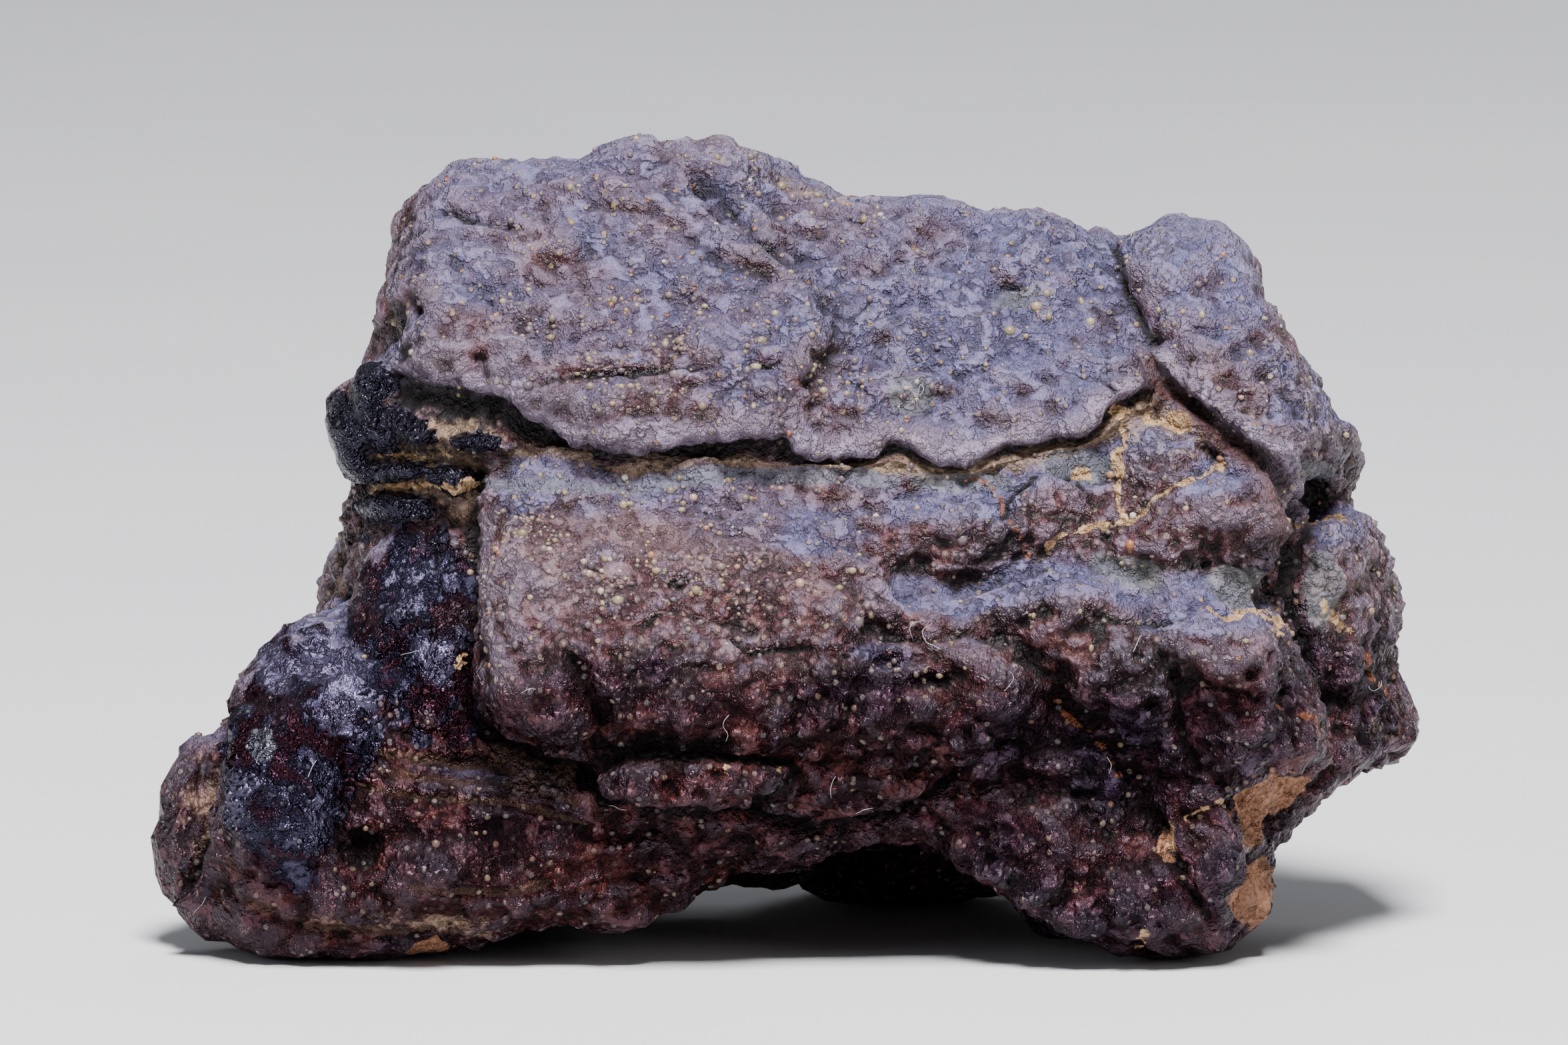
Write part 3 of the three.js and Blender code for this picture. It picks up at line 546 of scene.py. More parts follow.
slab_creases = np.exp(-(bumps(1.3, 59) / 0.05) ** 2)
height += slab * (0.16 * bumps(1.9, 58) - 0.14 * slab_creases * patchy)
seed_near, seed_next = cells(1.5, 21)
crackle = np.exp(-((seed_next - seed_near) / 0.07) ** 2) * smooth(bumps(3, 22), -0.1, 0.5)
small_near = cells(0.5, 41)[0]
height -= 0.07 * smooth(small_near, 0.25, 0.8) * rough + 0.09 * crackle
height += glossy * (0.12 * bumps(0.7, 57) + 0.08 * bumps(0.35, 62))
print("lumps stand up to", round(float(height.max()), 2), "mm high")

# %% [markdown]
# ## Steps, seams and cracks
# Every mark gets a depth. A step is a raised rim beside a groove, which makes the crisp dark line under an
# edge. Cracks are narrower, and a random mask breaks them up so that they fade in and out.

# %% Carve the paths
broken = smooth(bumps(0.8, 60) + 0.5 * ragged, -0.4, 0.3)
height += 0.26 * left_of(STEPS, 0.3, 0.2)
height -= 0.5 * left_of(STEPS[1:], -0.14, 0.2) + 0.3 * left_of([LEDGE], -0.1, 0.15)
height += 0.32 * along(DUSTY, 0.4)
mild_rise = 0.1 * left_of(MILD_STEPS, 0.3, 0.25) - 0.2 * left_of(MILD_STEPS, -0.1, 0.22)
height += mild_rise * (0.4 + 0.6 * broken)
height += 0.3 * left_of([SHOULDER_EDGE], -0.45, 0.3)
height -= 0.15 * along(DARK_BANDS, 0.3) + 0.15 * along(OVERHANG, 0.3)
height -= 0.24 * along(SEAMS, 0.14) + 0.2 * along(CRACKS, 0.085) * (0.4 + 0.6 * broken)
height -= 0.13 * along(WRINKLES, 0.13) * broken
height -= 0.10 * along(VEINS, 0.12) + 0.15 * along(STRATA, 0.13)
print("grooves are up to", round(float(-height.min()), 2), "mm deep")

# %% Carve the pits, raise the knobs and move the points
height -= 0.3 * patches(PITS, 0.5) + 0.6 * patches(SOCKET, 0.25)
knob_gap = smooth(along(KNOB_GAP, 1.6), 0.5, 0.8) * (1 - knobs)
height += 0.5 * knob_domes - 0.15 * knob_gap
at_ground = smooth(points[:, 2] / MM, 0.0, 0.5)
points = points + normals * (height * at_ground * MM)[:, None]
points[:, 2] = np.maximum(points[:, 2], 0)
print("the skin is raised and sunk by up to", round(float(np.abs(height).max()), 2), "mm")

# %% [markdown]
# ## Hollows and edges
# Dust settles in hollows, which also get painted shade, and handling polishes edges, which also get a
# painted highlight. A point that lies below the average of its surroundings is in a hollow, and one above
# it is on an edge, so the same averaging gives both.

# %% Measure hollows and edges
normals = normals_of(points)
hollow = np.einsum("ij,ij->i", blurred(points, 10) - points, normals) / MM
wide_hollow = np.einsum("ij,ij->i", blurred(points, 90) - points, normals) / MM
print("hollows up to", round(float(hollow.max()), 2), "and", round(float(wide_hollow.max()), 2), "mm deep")

# %% [markdown]
# ## Regions for the material
# The material can't see the paths, so each mask is stored on the mesh as a named number per point, which
# Blender calls an attribute. The mesh is dense enough for marks down to about 0.1 mm.

# %% Where the crust is darker low down, and where it gets painted shade
# Darker towards the bottom of the front view, which is partly painted shade of the faces that look down.
low_down = 1 - smooth(Y + 1.3 * bumps(2.5, 61), 5.2, 9.3)
# Painted shade under the shoulder's edge, on the low side of mild steps, in shaded hollows, on the underside
# and on the sliver behind the spur, together with the dark folded bands.
gloom = max_of([0.85 * along(DARK_BANDS, 0.3), left_of([SHOULDER_EDGE], -0.35, 0.35),
                0.7 * left_of(MILD_STEPS, -0.14, 0.16), 0.8 * patches(SHADED, 0.6),
                0.5 * patches(SHADED_UNDERSIDE, 0.5), 0.8 * patches(SHADED_SLIVER, 0.5)])
# Painted shade in cracks, wrinkles and seams, along the low side of steps, under the lip and the shoulder's
# edge, in the overhangs and in the socket's mouth.
crack = max_of([along(CRACKS, 0.08) * (0.3 + 0.7 * broken), 0.35 * along(WRINKLES, 0.07) * broken,
                left_of(STEPS[2:], -0.1, 0.19), 0.9 * left_of([LEDGE], -0.07, 0.1),
                0.6 * left_of([SHOULDER_EDGE], -0.06, 0.1), along(SEAMS, 0.13), along(OVERHANG, 0.3),
                0.85 * patches(SOCKET_MOUTH, 0.25)])
print("cracks and grooves cover", round(100 * float((crack > 0.5).mean()), 1), "percent of the skin")

# %% Name the regions
behind = 1 - in_front
lip_top = 0.85 * smooth(measured(LEDGE), 0.05, 0.3) * smooth(Y, 12, 13) * in_front
back_rust = 0.75 * behind * smooth(bumps(3.5, 71) + 0.4 * ragged, 0.6, 0.85)
regions = {
    "upward": blurred(normals, 1)[:, 2],
    "slab": np.maximum(slab, lip_top),
    "high": smooth(Y, 8, 11) * in_front + 0.6 * behind,
    "low": low_down,
    "hollow": hollow,
    "wide_hollow": wide_hollow,
    "glossy": glossy,
    "knob": knobs,
    "dust": max_of([along(DUSTY, 0.42) * smooth(upward, -0.6, 0.3), 0.5 * patches(TAN),
                    0.4 * along(VEINS, 0.25)]),
    "vein": np.maximum(0.95 * along(VEINS, 0.09), patches(PALE)),
    "thread": along(THREADS, 0.06),
    "rust": np.maximum(patches(RUSTY), back_rust),
    "greenish": patches(GREENISH),
    "band": np.maximum(along(BAND, 0.2), patches(CHIP, 0.2)),
    "violet": smooth(X + 1.5 * bumps(2.5, 63), 0, 6) * in_front,
    "rosy": patches(ROSY, 0.6),
    # painted shade under the shoulder's edge
    "undercut": left_of([SHOULDER_EDGE], -0.38, 0.3),
    "rim": left_of([LEDGE, SHOULDER_EDGE], 0.3, 0.3),
    "blue": patches(BLUE, 0.6),
    "sandy": patches(SANDY, 0.6) * smooth(bumps(0.9, 82), -0.3, 0.4),
    "sheen": patches(SHEEN, 0.5),
    "gloom": gloom,
    "crack": crack,
    "strata": along(STRATA, 0.14),
}
print("the skin carries", len(regions), "regions")

# %% [markdown]
# ## Make the piece
# The finished points become one mesh object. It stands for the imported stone, which stays for the physics.


# %% Build the skin object
def make_piece(name, points, faces, values):
    """A mesh object that rides on the stone's body, with one number per point for each named value."""
    mesh = bpy.data.meshes.new(name)
    mesh.from_pydata(points.tolist(), [], faces.tolist())
    mesh.polygons.foreach_set("use_smooth", [True] * len(mesh.polygons))
    for value_name, numbers in values.items():
        layer = mesh.attributes.new(value_name, "FLOAT", "POINT")
        layer.data.foreach_set("value", np.asarray(numbers, np.float32))
    piece = bpy.data.objects.new(name, mesh)
    bpy.context.collection.objects.link(piece)
    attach(piece, "root")
    return piece


skin = make_piece("meteorite_surface", points, faces, regions)
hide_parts("meteorite")
print("the skin has", len(skin.data.vertices), "points")

# %% [markdown]
# ## Writing shaders as sums
# Blender's materials are graphs of nodes. A small class wraps one output of a node, and adding or
# multiplying wrapped outputs makes the Math node for it, so a mask can be written as 1 - dust * 0.5.


# %% A class for shader values
class Value:
    """One number that varies over the surface."""

    def __init__(self, graph, socket):
        self.graph = graph
        self.socket = socket

    def math(self, operation, *others, clamp=False):
        inputs = dict(enumerate((self, *others)))
        made = self.graph.node("ShaderNodeMath", {"operation": operation, "use_clamp": clamp}, inputs)
        return Value(self.graph, made.outputs[0])

    def __add__(self, other):
        return self.math("ADD", other)

    __radd__ = __add__

    def __sub__(self, other):
        return self.math("SUBTRACT", other)

    def __rsub__(self, other):
        made = self.graph.node("ShaderNodeMath", {"operation": "SUBTRACT"}, {0: other, 1: self})
        return Value(self.graph, made.outputs[0])

    def __mul__(self, other):
        return self.math("MULTIPLY", other)

    __rmul__ = __mul__

    def size(self):
        return self.math("ABSOLUTE")

    def clamped(self):
        return self.math("ADD", 0.0, clamp=True)

    def rise(self, low, high):
        """0 where the value is below low, 1 above high, smooth between."""
        made = self.graph.node("ShaderNodeMapRange", {"interpolation_type": "SMOOTHSTEP"},
                               {"Value": self, "From Min": low, "From Max": high})
        return Value(self.graph, made.outputs["Result"])


# %% [markdown]
# ## One method that adds nodes
# Every other node comes from one method that takes the node's type, its settings and its inputs. The short
# methods after it are the few recipes that the materials share: noise, scattered seeds, a colour ramp, one
# colour laid over another, and a bump.


# %% A class for a material's nodes
class Graph:
    """The nodes of one material."""

    def __init__(self, name):
        self.material = bpy.data.materials.new(name)
        self.material.use_nodes = True
        self.tree = self.material.node_tree
        self.shader = self.tree.nodes["Principled BSDF"]

    def node(self, kind, settings=None, inputs=None):
        """Adds a node: its settings first, then a value or a link for each input."""
        made = self.tree.nodes.new(kind)
        for name, value in (settings or {}).items():
            if name == "stops":
                self.set_stops(made.color_ramp, value)
            else:
                setattr(made, name, value)
        for name, value in (inputs or {}).items():
            self.feed(made.inputs[name], value)
        return made

    def set_stops(self, ramp, stops):
        while len(ramp.elements) < len(stops):
            ramp.elements.new(0.5)
        for element, (position, colour) in zip(ramp.elements, stops):
            element.position = position
            element.color = (*colour, 1)

    def feed(self, socket, value):
        if isinstance(value, Value):
            self.tree.links.new(value.socket, socket)
        elif isinstance(value, bpy.types.NodeSocket):
            self.tree.links.new(value, socket)
        else:
            socket.default_value = value

    def attribute(self, name):
        return Value(self, self.node("ShaderNodeAttribute", {"attribute_name": name}).outputs["Fac"])

    def speckle(self, place, size, detail=3.0, roughness=0.55):
        """Cloudy noise with features of the given size in mm."""
        made = self.node("ShaderNodeTexNoise", {}, {"Vector": place, "Scale": 1 / (size * MM), "Detail": detail,
                                                     "Roughness": roughness})
        return Value(self, made.outputs["Fac"])

    def scatter(self, place, size):
        """Distance to the nearest scattered seed, 0 to about 1, and two random numbers for that seed."""
        made = self.node("ShaderNodeTexVoronoi", {}, {"Vector": place, "Scale": 1 / (size * MM)})
        parts = self.node("ShaderNodeSeparateColor", {}, {"Color": made.outputs["Color"]})
        picks = (Value(self, parts.outputs[i]) for i in range(2))
        return Value(self, made.outputs["Distance"]), *picks

    def blend(self, below, above, mask):
        """Two colours, the second laid over the first where the mask is 1."""
        made = self.node("ShaderNodeMix", {"data_type": "RGBA", "clamp_factor": True}, {})
        self.feed(made.inputs[0], mask)
        self.feed(made.inputs[6], self.as_colour(below))
        self.feed(made.inputs[7], self.as_colour(above))
        return made.outputs[2]

    def as_colour(self, colour):
        return (*colour, 1) if isinstance(colour, tuple) else colour

    def ramp(self, value, stops):
        return self.node("ShaderNodeValToRGB", {"stops": stops}, {"Fac": value}).outputs["Color"]

    def bump(self, height, distance):
        inputs = {"Height": height, "Distance": distance, "Strength": 1.0}
        return self.node("ShaderNodeBump", {}, inputs).outputs["Normal"]

    def report(self, layer):
        print(self.material.name, "with", layer + ":", len(self.tree.nodes), "nodes")


# %% [markdown]
# ## The stone's material
# One material covers the stone. It is built up like the real skin, from the bottom: red-brown crust with
# mineral grains, darker low down partly as painted shade, a bloom with a painted sheen on what faces up,
# painted shade in hollows and creases, gloss, dust and lime, rust, and cracks with painted shade on top.
# Noise of several sizes is shared by all the layers, so that they break up together.

# %% Noise for the crust
g = Graph("weathered crust")
place = g.node("ShaderNodeTexCoord").outputs["Object"]
mask = {name: g.attribute(name) for name in regions}

clouds = g.speckle(place, 2.4, 3)
mottle = g.speckle(place, 0.7, 4, 0.65)
specks = g.speckle(place, 0.3, 3, 0.6)
grit = g.speckle(place, 0.16, 3, 0.7)
fine_mottle = mottle * 0.45 + specks * 0.55
creases = (mottle - 0.5).size().rise(0.0, 0.06)
grain_near, grain_pick, grain_tone = g.scatter(place, 0.22)
domes = 1 - grain_near.rise(0.1, 0.75)
grainy = (0.9 - mask["slab"] * 0.6 + mask["sandy"] * 0.7 + (clouds - 0.5) * 1.5
          - mask["glossy"] * 0.6).clamped()
print("the crust reads", len(mask), "regions")

# %% [markdown]
# ## Crust
# Rusted iron binds the mineral grains, so the crust is dark red-brown with pinkish grains in it. Low down
# and on faces that look down it is darker, wine red and navy: partly the crust's colour and partly painted
# shade. Colours are stronger here than they look, because Blender's view softens them.

# %% Red-brown crust, darker low down
matrix = g.ramp(mottle, [
    (0.3, (0.006, 0.001, 0.002)), (0.46, (0.032, 0.007, 0.009)), (0.6, (0.085, 0.024, 0.027)),
    (0.75, (0.14, 0.06, 0.054))])
pebbles = g.ramp(grain_tone, [
    (0.0, (0.05, 0.014, 0.02)), (0.35, (0.12, 0.05, 0.06)), (0.7, (0.22, 0.125, 0.135)),
    (1.0, (0.32, 0.22, 0.2))])
deep = g.ramp(mottle, [
    (0.3, (0.004, 0.001, 0.002)), (0.47, (0.022, 0.004, 0.005)), (0.58, (0.058, 0.013, 0.012)),
    (0.72, (0.115, 0.04, 0.03))])
navy = g.ramp(mottle, [
    (0.4, (0.002, 0.002, 0.006)), (0.58, (0.02, 0.015, 0.038)), (0.72, (0.065, 0.052, 0.1))])
# Darker low down and on faces that look down: partly the crust's colour and partly painted shade.
low = (mask["low"] * 0.9 + (0.35 - mask["upward"]) * 0.8 + (clouds - 0.5) * 1.0 + (mottle - 0.5) * 0.6
       - mask["high"] * 0.35).clamped()
navy_here = (low * 0.6 + mask["violet"] * 0.35 + (clouds - 0.5) * 2.6 - 0.4).clamped()
colour = g.blend(matrix, pebbles, domes * grainy * 0.95)
colour = g.blend(colour, deep, low * (1 - domes * grainy * 0.35))
colour = g.blend(colour, navy, navy_here * 0.85)
g.report("a dark crust")

# %% [markdown]
# ## Bloom and painted sheen
# Faces that look up have a thin lavender bloom with a painted sheen of the cool light above, more slate
# blue on the slab and the right side and rosy on the front of the main block. It is a blend of two ramps,
# and another noise decides between them.

# %% Blue and rose bloom, with painted sheen
blue_bloom_and_sheen = g.ramp(fine_mottle, [
    (0.32, (0.05, 0.045, 0.11)), (0.5, (0.15, 0.14, 0.27)), (0.68, (0.22, 0.205, 0.36))])
rose_bloom_and_sheen = g.ramp(fine_mottle, [
    (0.32, (0.045, 0.018, 0.022)), (0.5, (0.19, 0.115, 0.127)), (0.68, (0.31, 0.21, 0.22))])
# Faces that look up get the lavender colour: partly patina, partly a painted sheen of the cool light above.
bloom_and_sheen_amount = (mask["upward"] * 0.7 + mask["slab"] * 0.45 + mask["violet"] * mask["high"] * 0.15
            + (clouds - 0.5) * 1.5 + (mottle - 0.5) * 1.2).rise(0.3, 1.0)
bluish = (mask["slab"] * 1.1 + mask["blue"] * 0.9 + mask["violet"] * 0.45 - mask["rosy"] * 0.8
          + (clouds - 0.5) * 2.6 + (mottle - 0.5) * 0.8 - 0.3).clamped()
bloom = g.blend(rose_bloom_and_sheen, blue_bloom_and_sheen, bluish)
colour = g.blend(colour, bloom, bloom_and_sheen_amount * (0.95 - domes * grainy * 0.5) * (1 - low * 0.75))
# Painted shade and the dark folded bands, in deep red and navy.
colour = g.blend(colour, g.blend(deep, navy, bluish), mask["gloom"] * 0.85)
g.report("bloom")

# %% [markdown]
# ## Hollows, edges and layers
# Hollows and creases get painted shade, and edges are rubbed paler with a painted highlight, which makes
# small relief easy to read. Single bright mineral grains and the brown layers of the left foot come here too.

# %% Painted shade in hollows and creases, worn edges with a painted highlight, mineral grains and layers
hollow_shade_black = (0.004, 0.002, 0.003)
wear_and_highlight_lavender = (0.27, 0.21, 0.29)
crease_shade_black = (0.008, 0.003, 0.004)
layer_brown = (0.11, 0.062, 0.046)

sunk = mask["hollow"].rise(0.012, 0.075)
raised = (0.0 - mask["hollow"]).rise(0.01, 0.07)
# Painted shade in hollows, weaker on the slab.
colour = g.blend(colour, hollow_shade_black, sunk * (0.85 - 0.35 * mask["slab"]))
# Edges and the rim above the lip and the shoulder's edge are paler: partly wear, partly a painted highlight.
wear_and_highlight = raised * (0.35 - low * 0.25) + mask["rim"] * mottle.rise(0.3, 0.6) * 0.8
colour = g.blend(colour, wear_and_highlight_lavender, wear_and_highlight)
# Painted shade along the creases of the fine relief.
crease_shade = (1 - creases) * clouds.rise(0.46, 0.58) * (1 - mask["slab"] * 0.3)
colour = g.blend(colour, crease_shade_black, crease_shade * 0.75)

mineral = grain_pick.rise(0.84, 0.88) * (1 - grain_near.rise(0.28, 0.42))
mineral_colour = g.ramp(grain_tone, [
    (0.0, (0.13, 0.12, 0.12)), (0.4, (0.26, 0.19, 0.16)), (0.7, (0.34, 0.25, 0.12)),
    (0.9, (0.3, 0.11, 0.05)), (1.0, (0.45, 0.38, 0.3))])
colour = g.blend(colour, mineral_colour, mineral * (0.7 - low * 0.35) * (1 - mask["glossy"]))
layered = (mask["strata"] + (mottle - 0.5) * 1.4).rise(0.45, 0.8)
colour = g.blend(colour, layer_brown, layered * 0.5)
g.report("hollows")

# %% [markdown]
# ## Glossy column, spur and knobs
# These parts look wet: nearly black, with wine red and navy in them. Their gloss comes later, from low
# roughness and a high metallic value; here the dark colour is set, and patches of painted sheen.

# %% Dark glossy colours and painted sheen
knob_black = (0.03, 0.027, 0.042)
sheen_lavender = (0.15, 0.13, 0.22)
glossy_here = (mask["glossy"] + (mottle - 0.5) * 0.9).rise(0.35, 0.6)
glossy_colour = g.ramp(clouds * 0.5 + mottle * 0.5, [
    (0.38, (0.008, 0.006, 0.012)), (0.46, (0.026, 0.007, 0.011)), (0.53, (0.018, 0.017, 0.034)),
    (0.64, (0.085, 0.077, 0.128))])
colour = g.blend(colour, glossy_colour, glossy_here * 0.95)
knob_here = mask["knob"].rise(0.3, 0.6)
colour = g.blend(colour, knob_black, knob_here)
# Lavender patches of painted sheen on the spur and the column.
shining = (mask["sheen"] + (mottle - 0.5) * 1.6 + (specks - 0.5)).rise(0.3, 0.9)
colour = g.blend(colour, sheen_lavender, shining * 0.6)
g.report("gloss")

# %% [markdown]
# ## Dust and lime
# Tan dust lies in the ledge and in wide hollows, but not on the glossy parts. Greenish grey chips and one
# smooth slate band are another mineral that shows through.

# %% Tan dust, greenish chips and the slate band
band_slate = (0.16, 0.155, 0.2)
dusty = (mask["dust"] * 1.15 + mask["wide_hollow"] * 0.4 + (mottle - 0.5) * 1.1
         + (grit - 0.5) * 0.6).rise(0.4, 0.85)
dusty = dusty * (1 - glossy_here * 0.7) * (1 - knob_here)
dust_colour = g.ramp(grit, [
    (0.3, (0.11, 0.064, 0.04)), (0.5, (0.24, 0.15, 0.095)), (0.7, (0.4, 0.28, 0.18))])
colour = g.blend(colour, dust_colour, dusty * 0.85)
green_here = (mask["greenish"] + (mottle - 0.5) * 1.1).rise(0.35, 0.7)
green_colour = g.ramp(mottle, [
    (0.35, (0.06, 0.065, 0.07)), (0.55, (0.15, 0.155, 0.165)), (0.7, (0.24, 0.235, 0.21))])
colour = g.blend(colour, green_colour, green_here * (0.6 - mask["glossy"] * 0.2))
banded = (mask["band"] + (mottle - 0.5) * 0.9).rise(0.35, 0.7)
colour = g.blend(colour, band_slate, banded * 0.8)
g.report("dust")

# %% [markdown]
# ## Rust, veins and cracks
# The sharpest marks go on last, so that nothing covers them: orange rust, cream veins, red threads, black
# painted shade in cracks and under edges, and red-brown painted shade under the shoulder's edge.

# %% Rust, veins, threads and painted shade in cracks
thread_red = (0.26, 0.09, 0.045)
crack_shade_black = (0.006, 0.003, 0.004)
rust_here = (mask["rust"] + (mottle - 0.5) * 0.8 + (grit - 0.5) * 0.4).rise(0.4, 0.6)
rust_colour = g.ramp(grit * 0.6 + mottle * 0.4, [
    (0.35, (0.1, 0.035, 0.016)), (0.48, (0.25, 0.095, 0.038)), (0.62, (0.38, 0.19, 0.1))])
colour = g.blend(colour, rust_colour, rust_here * 0.95)
vein_here = (mask["vein"] + (mottle - 0.5) * 1.7 + (grit - 0.5) * 0.8).rise(0.5, 0.72)
vein_colour = g.ramp(grit, [
    (0.35, (0.26, 0.13, 0.055)), (0.5, (0.46, 0.27, 0.12)), (0.65, (0.66, 0.46, 0.27))])
colour = g.blend(colour, vein_colour, vein_here * 0.95)
thread_here = (mask["thread"] + (mottle - 0.5) * 1.2).rise(0.4, 0.7)
colour = g.blend(colour, thread_red, thread_here * 0.8)
# Black painted shade in cracks, seams and under edges, but not on the veins.
shaded_cracks = (mask["crack"] + (grit - 0.5) * 0.5).rise(0.3, 0.8) * (1 - vein_here)
colour = g.blend(colour, crack_shade_black, shaded_cracks * 0.92)
# Red-brown painted shade under the shoulder's edge.
shoulder_shade_colour = g.ramp(grit, [(0.3, (0.03, 0.008, 0.008)), (0.7, (0.13, 0.045, 0.038))])
colour = g.blend(colour, shoulder_shade_colour, mask["undercut"] * 0.8)
g.report("veins and cracks")

# %% [markdown]
# ## Finish
# Dust, rust and lime are matt. The dark low parts are partly metallic: that removes the milky veil that a
# pale studio lays over a dark plastic-like surface, and leaves small crisp glints. One bump adds the grain
# that is finer than the mesh.

# %% Roughness, metallic and bump
BUMP_DEPTH = 0.3
SPECULAR = 0.5
matt = (mask["undercut"] * 0.6 + dusty + rust_here + vein_here + green_here + mineral).clamped()
metallic = (low * 0.9 + bloom_and_sheen_amount * 0.3 + glossy_here * 0.75 + knob_here) * (1 - matt)
roughness = (0.36 + (mottle - 0.5) * 0.4 + (grit - 0.5) * 0.3 + matt * 0.3 + sunk * 0.2 + bloom_and_sheen_amount * 0.18
             - glossy_here * 0.14 - knob_here * 0.02).clamped()
relief = (domes * grainy * 0.45 + grit * (0.6 - glossy_here * 0.35) + mottle * 0.7 + creases * 0.3
          + mineral * 0.25)

g.feed(g.shader.inputs["Base Color"], colour)
g.feed(g.shader.inputs["Roughness"], roughness)
g.feed(g.shader.inputs["Metallic"], metallic.clamped())
g.feed(g.shader.inputs["Normal"], g.bump(relief, BUMP_DEPTH * MM))
g.shader.inputs["Specular IOR Level"].default_value = SPECULAR
skin.data.materials.append(g.material)
g.report("its finish")

# %% [markdown]
# ## Sand grains
# Rounded grains of sand stick to the crust. They are real little beads, half sunk, thick on the slab, on
# the face below it and on the left foot, and thin elsewhere. A fixed seed gives the same grains each time.

# %% Choose where the grains stick
GRAINS = 2000
TYPICAL_RADIUS, SPREAD, SMALLEST, LARGEST = 0.06, 0.42, 0.02, 0.15
rng = np.random.default_rng(7)
weight = 0.08 + 1.6 * regions["sandy"] + 0.2 * smooth(bumps(1.2, 81), 0, 0.6)
weight *= (1 - glossy) * smooth(upward, -0.5, 0.2) * (0.08 + 0.92 * smooth(Y, 4, 10))
corner = [points[faces[:, k]] for k in range(3)]
area = np.linalg.norm(np.cross(corner[1] - corner[0], corner[2] - corner[0]), axis=1)
chance = area * weight[faces].mean(1)
chosen = rng.choice(len(faces), GRAINS, p=chance / chance.sum())
share = rng.dirichlet((1, 1, 1), GRAINS)
centres = np.einsum("nk,nkd->nd", share, points[faces[chosen]])
outward = normals[faces[chosen, 0]]
radii = np.clip(rng.lognormal(math.log(TYPICAL_RADIUS), SPREAD, GRAINS), SMALLEST, LARGEST) * MM
print("there are", GRAINS, "grains, up to", round(float(radii.max() / MM * 2), 2), "mm across")

# %% [markdown]
# ## Beads
# Each grain is a regular solid with twenty sides, which is enough for something this small. Each one is
# stretched at random along three directions, so no two grains are alike.

# %% Make the beads
t = (1 + math.sqrt(5)) / 2
BEAD = np.array([
    (-1, t, 0), (1, t, 0), (-1, -t, 0), (1, -t, 0), (0, -1, t), (0, 1, t), (0, -1, -t), (0, 1, -t),
    (t, 0, -1), (t, 0, 1), (-t, 0, -1), (-t, 0, 1)]) / math.hypot(1, t)
BEAD_FACES = np.array([
    (0, 11, 5), (0, 5, 1), (0, 1, 7), (0, 7, 10), (0, 10, 11), (1, 5, 9), (5, 11, 4), (11, 10, 2),
    (10, 7, 6), (7, 1, 8), (3, 9, 4), (3, 4, 2), (3, 2, 6), (3, 6, 8), (3, 8, 9), (4, 9, 5), (2, 4, 11),
    (6, 2, 10), (8, 6, 7), (9, 8, 1)])
SINK = 0.1
corners = len(BEAD)
turned = BEAD[None] * rng.uniform(0.75, 1.2, (GRAINS, 1, 3))
beads = (centres - outward * radii[:, None] * SINK)[:, None] + turned * radii[:, None, None]
bead_faces = BEAD_FACES[None] + corners * np.arange(GRAINS)[:, None, None]
tone = np.repeat(rng.random(GRAINS), corners)
shade = np.repeat(low_down[faces[chosen, 0]], corners)
grains_piece = make_piece("sand_grains", beads.reshape(-1, 3), bead_faces.reshape(-1, 3),
                          {"tone": tone, "shade": shade})
print("the grains have", len(grains_piece.data.polygons), "triangles")

# %% Colour the grains
stained_brown = (0.1, 0.07, 0.06)
shaded_brown = (0.085, 0.04, 0.02)
s = Graph("sand")
sand_ramp = s.ramp(s.attribute("tone"), [
    (0.0, (0.07, 0.05, 0.07)), (0.4, (0.15, 0.11, 0.12)), (0.65, (0.22, 0.17, 0.09)),
    (0.85, (0.34, 0.27, 0.17)), (0.94, (0.3, 0.1, 0.04)), (1.0, (0.55, 0.5, 0.42))])
cloudy = s.speckle(s.node("ShaderNodeTexCoord").outputs["Object"], 0.06, 2)
sand_colour = s.blend(sand_ramp, stained_brown, (cloudy - 0.35) * 0.9)
# Grains low down are darker, as painted shade.
s.feed(s.shader.inputs["Base Color"], s.blend(sand_colour, shaded_brown, s.attribute("shade") * 0.75))
s.feed(s.shader.inputs["Roughness"], 0.25 + cloudy * 0.3)
grains_piece.data.materials.append(s.material)
s.report("stains")

# %% [markdown]
# ## Lint
# Fine textile fibres cling to rough stone. Each one here is a thin tube that wanders over the surface:
# its path is drawn in the front view, dropped on to the stone, and lifted a little between where it clings.

# %% Draw the fibres' paths
# start x and y, length in mm and direction in degrees, for each fibre
LINT = [
    (3.2, 8.3, 0.9, 200), (2.9, 8.0, 0.8, 120), (-1.7, 5.5, 0.8, 60), (0.9, 4.1, 0.6, 100),
    (1.5, 3.7, 0.5, 20), (7.7, 5.1, 0.5, 290), (-14.6, 1.6, 0.6, 250), (-9.8, 15.9, 0.8, 250),
    (2.8, 14.2, 0.7, 300), (3.1, 14.3, 0.5, 240), (14.3, 6.8, 0.6, 280), (-6.7, 6.7, 0.4, 30),
    (5.3, 7.2, 0.6, 330), (-4.6, 3.9, 0.5, 10), (-9.3, 7.7, 0.5, 160), (8.3, 7.7, 0.5, 45),
    (-12.0, 4.6, 0.5, 70), (-5.4, 15.9, 0.3, 120), (4.2, 17.5, 0.4, 40),
]
LINT_STEPS = 16
FEWEST = 6
WIGGLE = 9
ABOVE = 20
random.seed(5)
surface = BVHTree.FromPolygons(points.tolist(), faces.tolist())


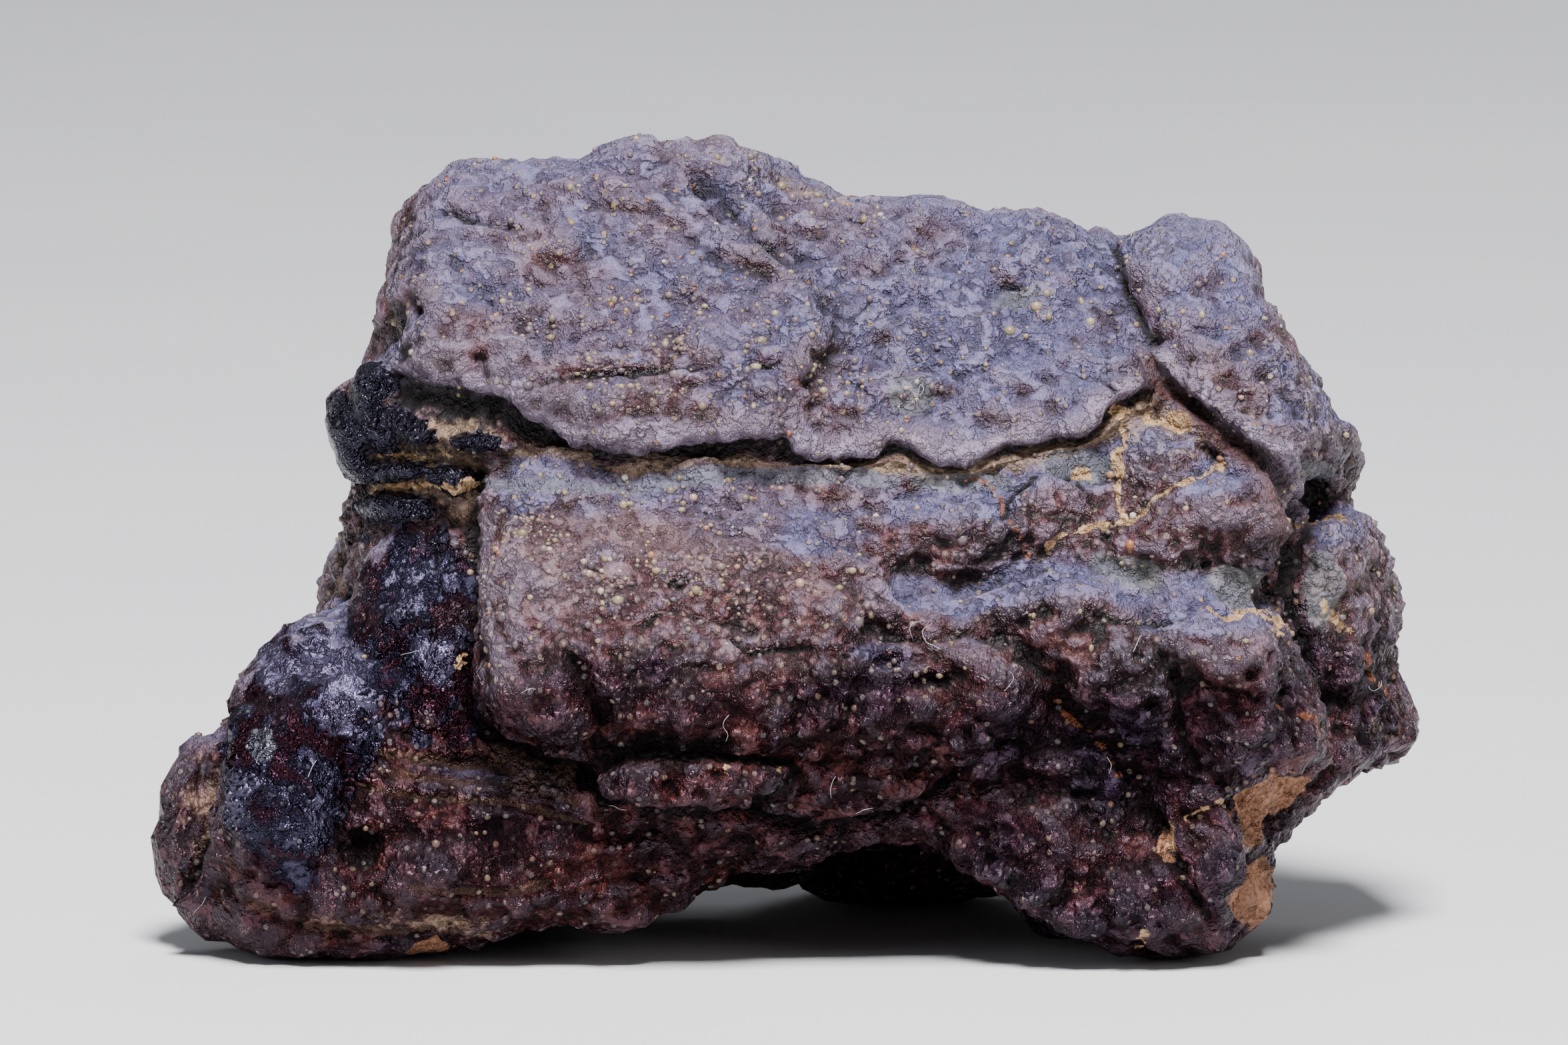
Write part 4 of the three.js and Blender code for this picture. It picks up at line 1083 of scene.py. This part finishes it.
def lint_path(x, y, length, direction):
    """The points of one fibre, in metres, dropped on to the stone from the front."""
    path, angle, curl = [], math.radians(direction), random.uniform(-4, 4)
    for i in range(LINT_STEPS):
        hit = surface.ray_cast(from_front(x, y, ABOVE), view_direction)[0]
        if hit is not None:
            lift = 0.02 + 0.06 * math.sin(math.pi * i / (LINT_STEPS - 1)) ** 2
            path.append(hit - view_direction * lift * MM)
        angle += (curl + random.uniform(-WIGGLE, WIGGLE)) * length / LINT_STEPS
        x += math.cos(angle) * length / LINT_STEPS
        y += math.sin(angle) * length / LINT_STEPS
    return path


lint_paths = [path for path in (lint_path(*fibre) for fibre in LINT) if len(path) >= FEWEST]
print(len(lint_paths), "fibres of lint lie on the stone")

# %% Wrap a tube round each path
LINT_RADIUS = 0.006
SIDES = 5
tube_points, tube_faces = [], []


def add_tube(path):
    path = [path[0]] + [(a + b + c) / 3 for a, b, c in zip(path, path[1:], path[2:])] + [path[-1]]
    first = len(tube_points)
    for i, point in enumerate(path):
        forward = (path[min(i + 1, len(path) - 1)] - path[max(i - 1, 0)]).normalized()
        side = forward.cross(view_direction).normalized()
        up = side.cross(forward)
        for k in range(SIDES):
            turn = 2 * math.pi * k / SIDES
            tube_points.append(point + (side * math.cos(turn) + up * math.sin(turn)) * LINT_RADIUS * MM)
    for i in range(len(path) - 1):
        for k in range(SIDES):
            a, b = first + i * SIDES + k, first + i * SIDES + (k + 1) % SIDES
            tube_faces.extend([(a, b, b + SIDES), (a, b + SIDES, a + SIDES)])
    last = first + (len(path) - 1) * SIDES
    tube_faces.extend((first, first + k + 1, first + k) for k in range(1, SIDES - 1))
    tube_faces.extend((last, last + k, last + k + 1) for k in range(1, SIDES - 1))


for path in lint_paths:
    add_tube(path)
lint = make_piece("lint_fibres", np.array(tube_points), np.array(tube_faces), {})
print("the lint has", len(tube_faces), "triangles")

# %% Colour the lint
f = Graph("lint")
strand = f.speckle(f.node("ShaderNodeTexCoord").outputs["Object"], 0.2, 2)
lint_colour = f.ramp(strand, [(0.35, (0.25, 0.25, 0.32)), (0.65, (0.7, 0.7, 0.74))])
f.feed(f.shader.inputs["Base Color"], lint_colour)
f.shader.inputs["Roughness"].default_value = 0.5
lint.data.materials.append(f.material)
f.report("strands")

# %% [markdown]
# ## Studio
# A plain pale floor and large soft lights. The key light is above and a little in front, as the bright
# slab and the dark underside show, and it is slightly cool, which brings out the lavender bloom and the
# sheen painted into it.

# %% Floor
HALF = 2
JUST_UNDER = 0.00002
floor_mesh = bpy.data.meshes.new("floor")
floor_mesh.from_pydata([(-HALF, -HALF, 0), (HALF, -HALF, 0), (HALF, HALF, 0), (-HALF, HALF, 0)], [],
                       [(0, 1, 2, 3)])
floor = bpy.data.objects.new("floor", floor_mesh)
bpy.context.collection.objects.link(floor)
floor.location.z = -JUST_UNDER
paper = Graph("pale paper")
paper_place = paper.node("ShaderNodeTexCoord").outputs["Object"]
paper_noise = paper.speckle(paper_place, 30, 2)
paper_colour = paper.ramp(paper_noise, [(0.3, (0.70, 0.70, 0.71)), (0.7, (0.74, 0.74, 0.74))])
paper.feed(paper.shader.inputs["Base Color"], paper_colour)
paper.shader.inputs["Roughness"].default_value = 0.9
floor_mesh.materials.append(paper.material)
print("the floor is", 2 * HALF, "metres wide")

# %% Lights
STONE_MIDDLE = Vector((0, 0, 0.009))


def soft_light(name, position, size, watts, tint):
    """A square area light aimed at the stone; position and size in mm."""
    lamp = bpy.data.lights.new(name, "AREA")
    lamp.size = size * MM
    lamp.energy = watts
    lamp.color = tint
    light = bpy.data.objects.new(name, lamp)
    light.location = Vector(position) * MM
    light.rotation_euler = (STONE_MIDDLE - light.location).to_track_quat("-Z", "Y").to_euler()
    bpy.context.collection.objects.link(light)


soft_light("key", (10, -140, 280), 90, 2.9, (0.97, 0.97, 1.0))
soft_light("left_fill", (-320, -160, 140), 140, 0.12, (0.9, 0.94, 1.0))
soft_light("right_fill", (320, -200, 140), 140, 0.15, (1.0, 0.97, 0.94))
soft_light("rim", (60, 300, 260), 160, 0.3, (0.92, 0.95, 1.0))
world = bpy.data.worlds.new("studio")
bpy.context.scene.world = world
world.use_nodes = True
sky = world.node_tree.nodes["Background"]
sky.inputs["Color"].default_value = (0.9, 0.93, 1.0, 1)
sky.inputs["Strength"].default_value = 0.13
print("there are", len(bpy.data.lights), "lights")
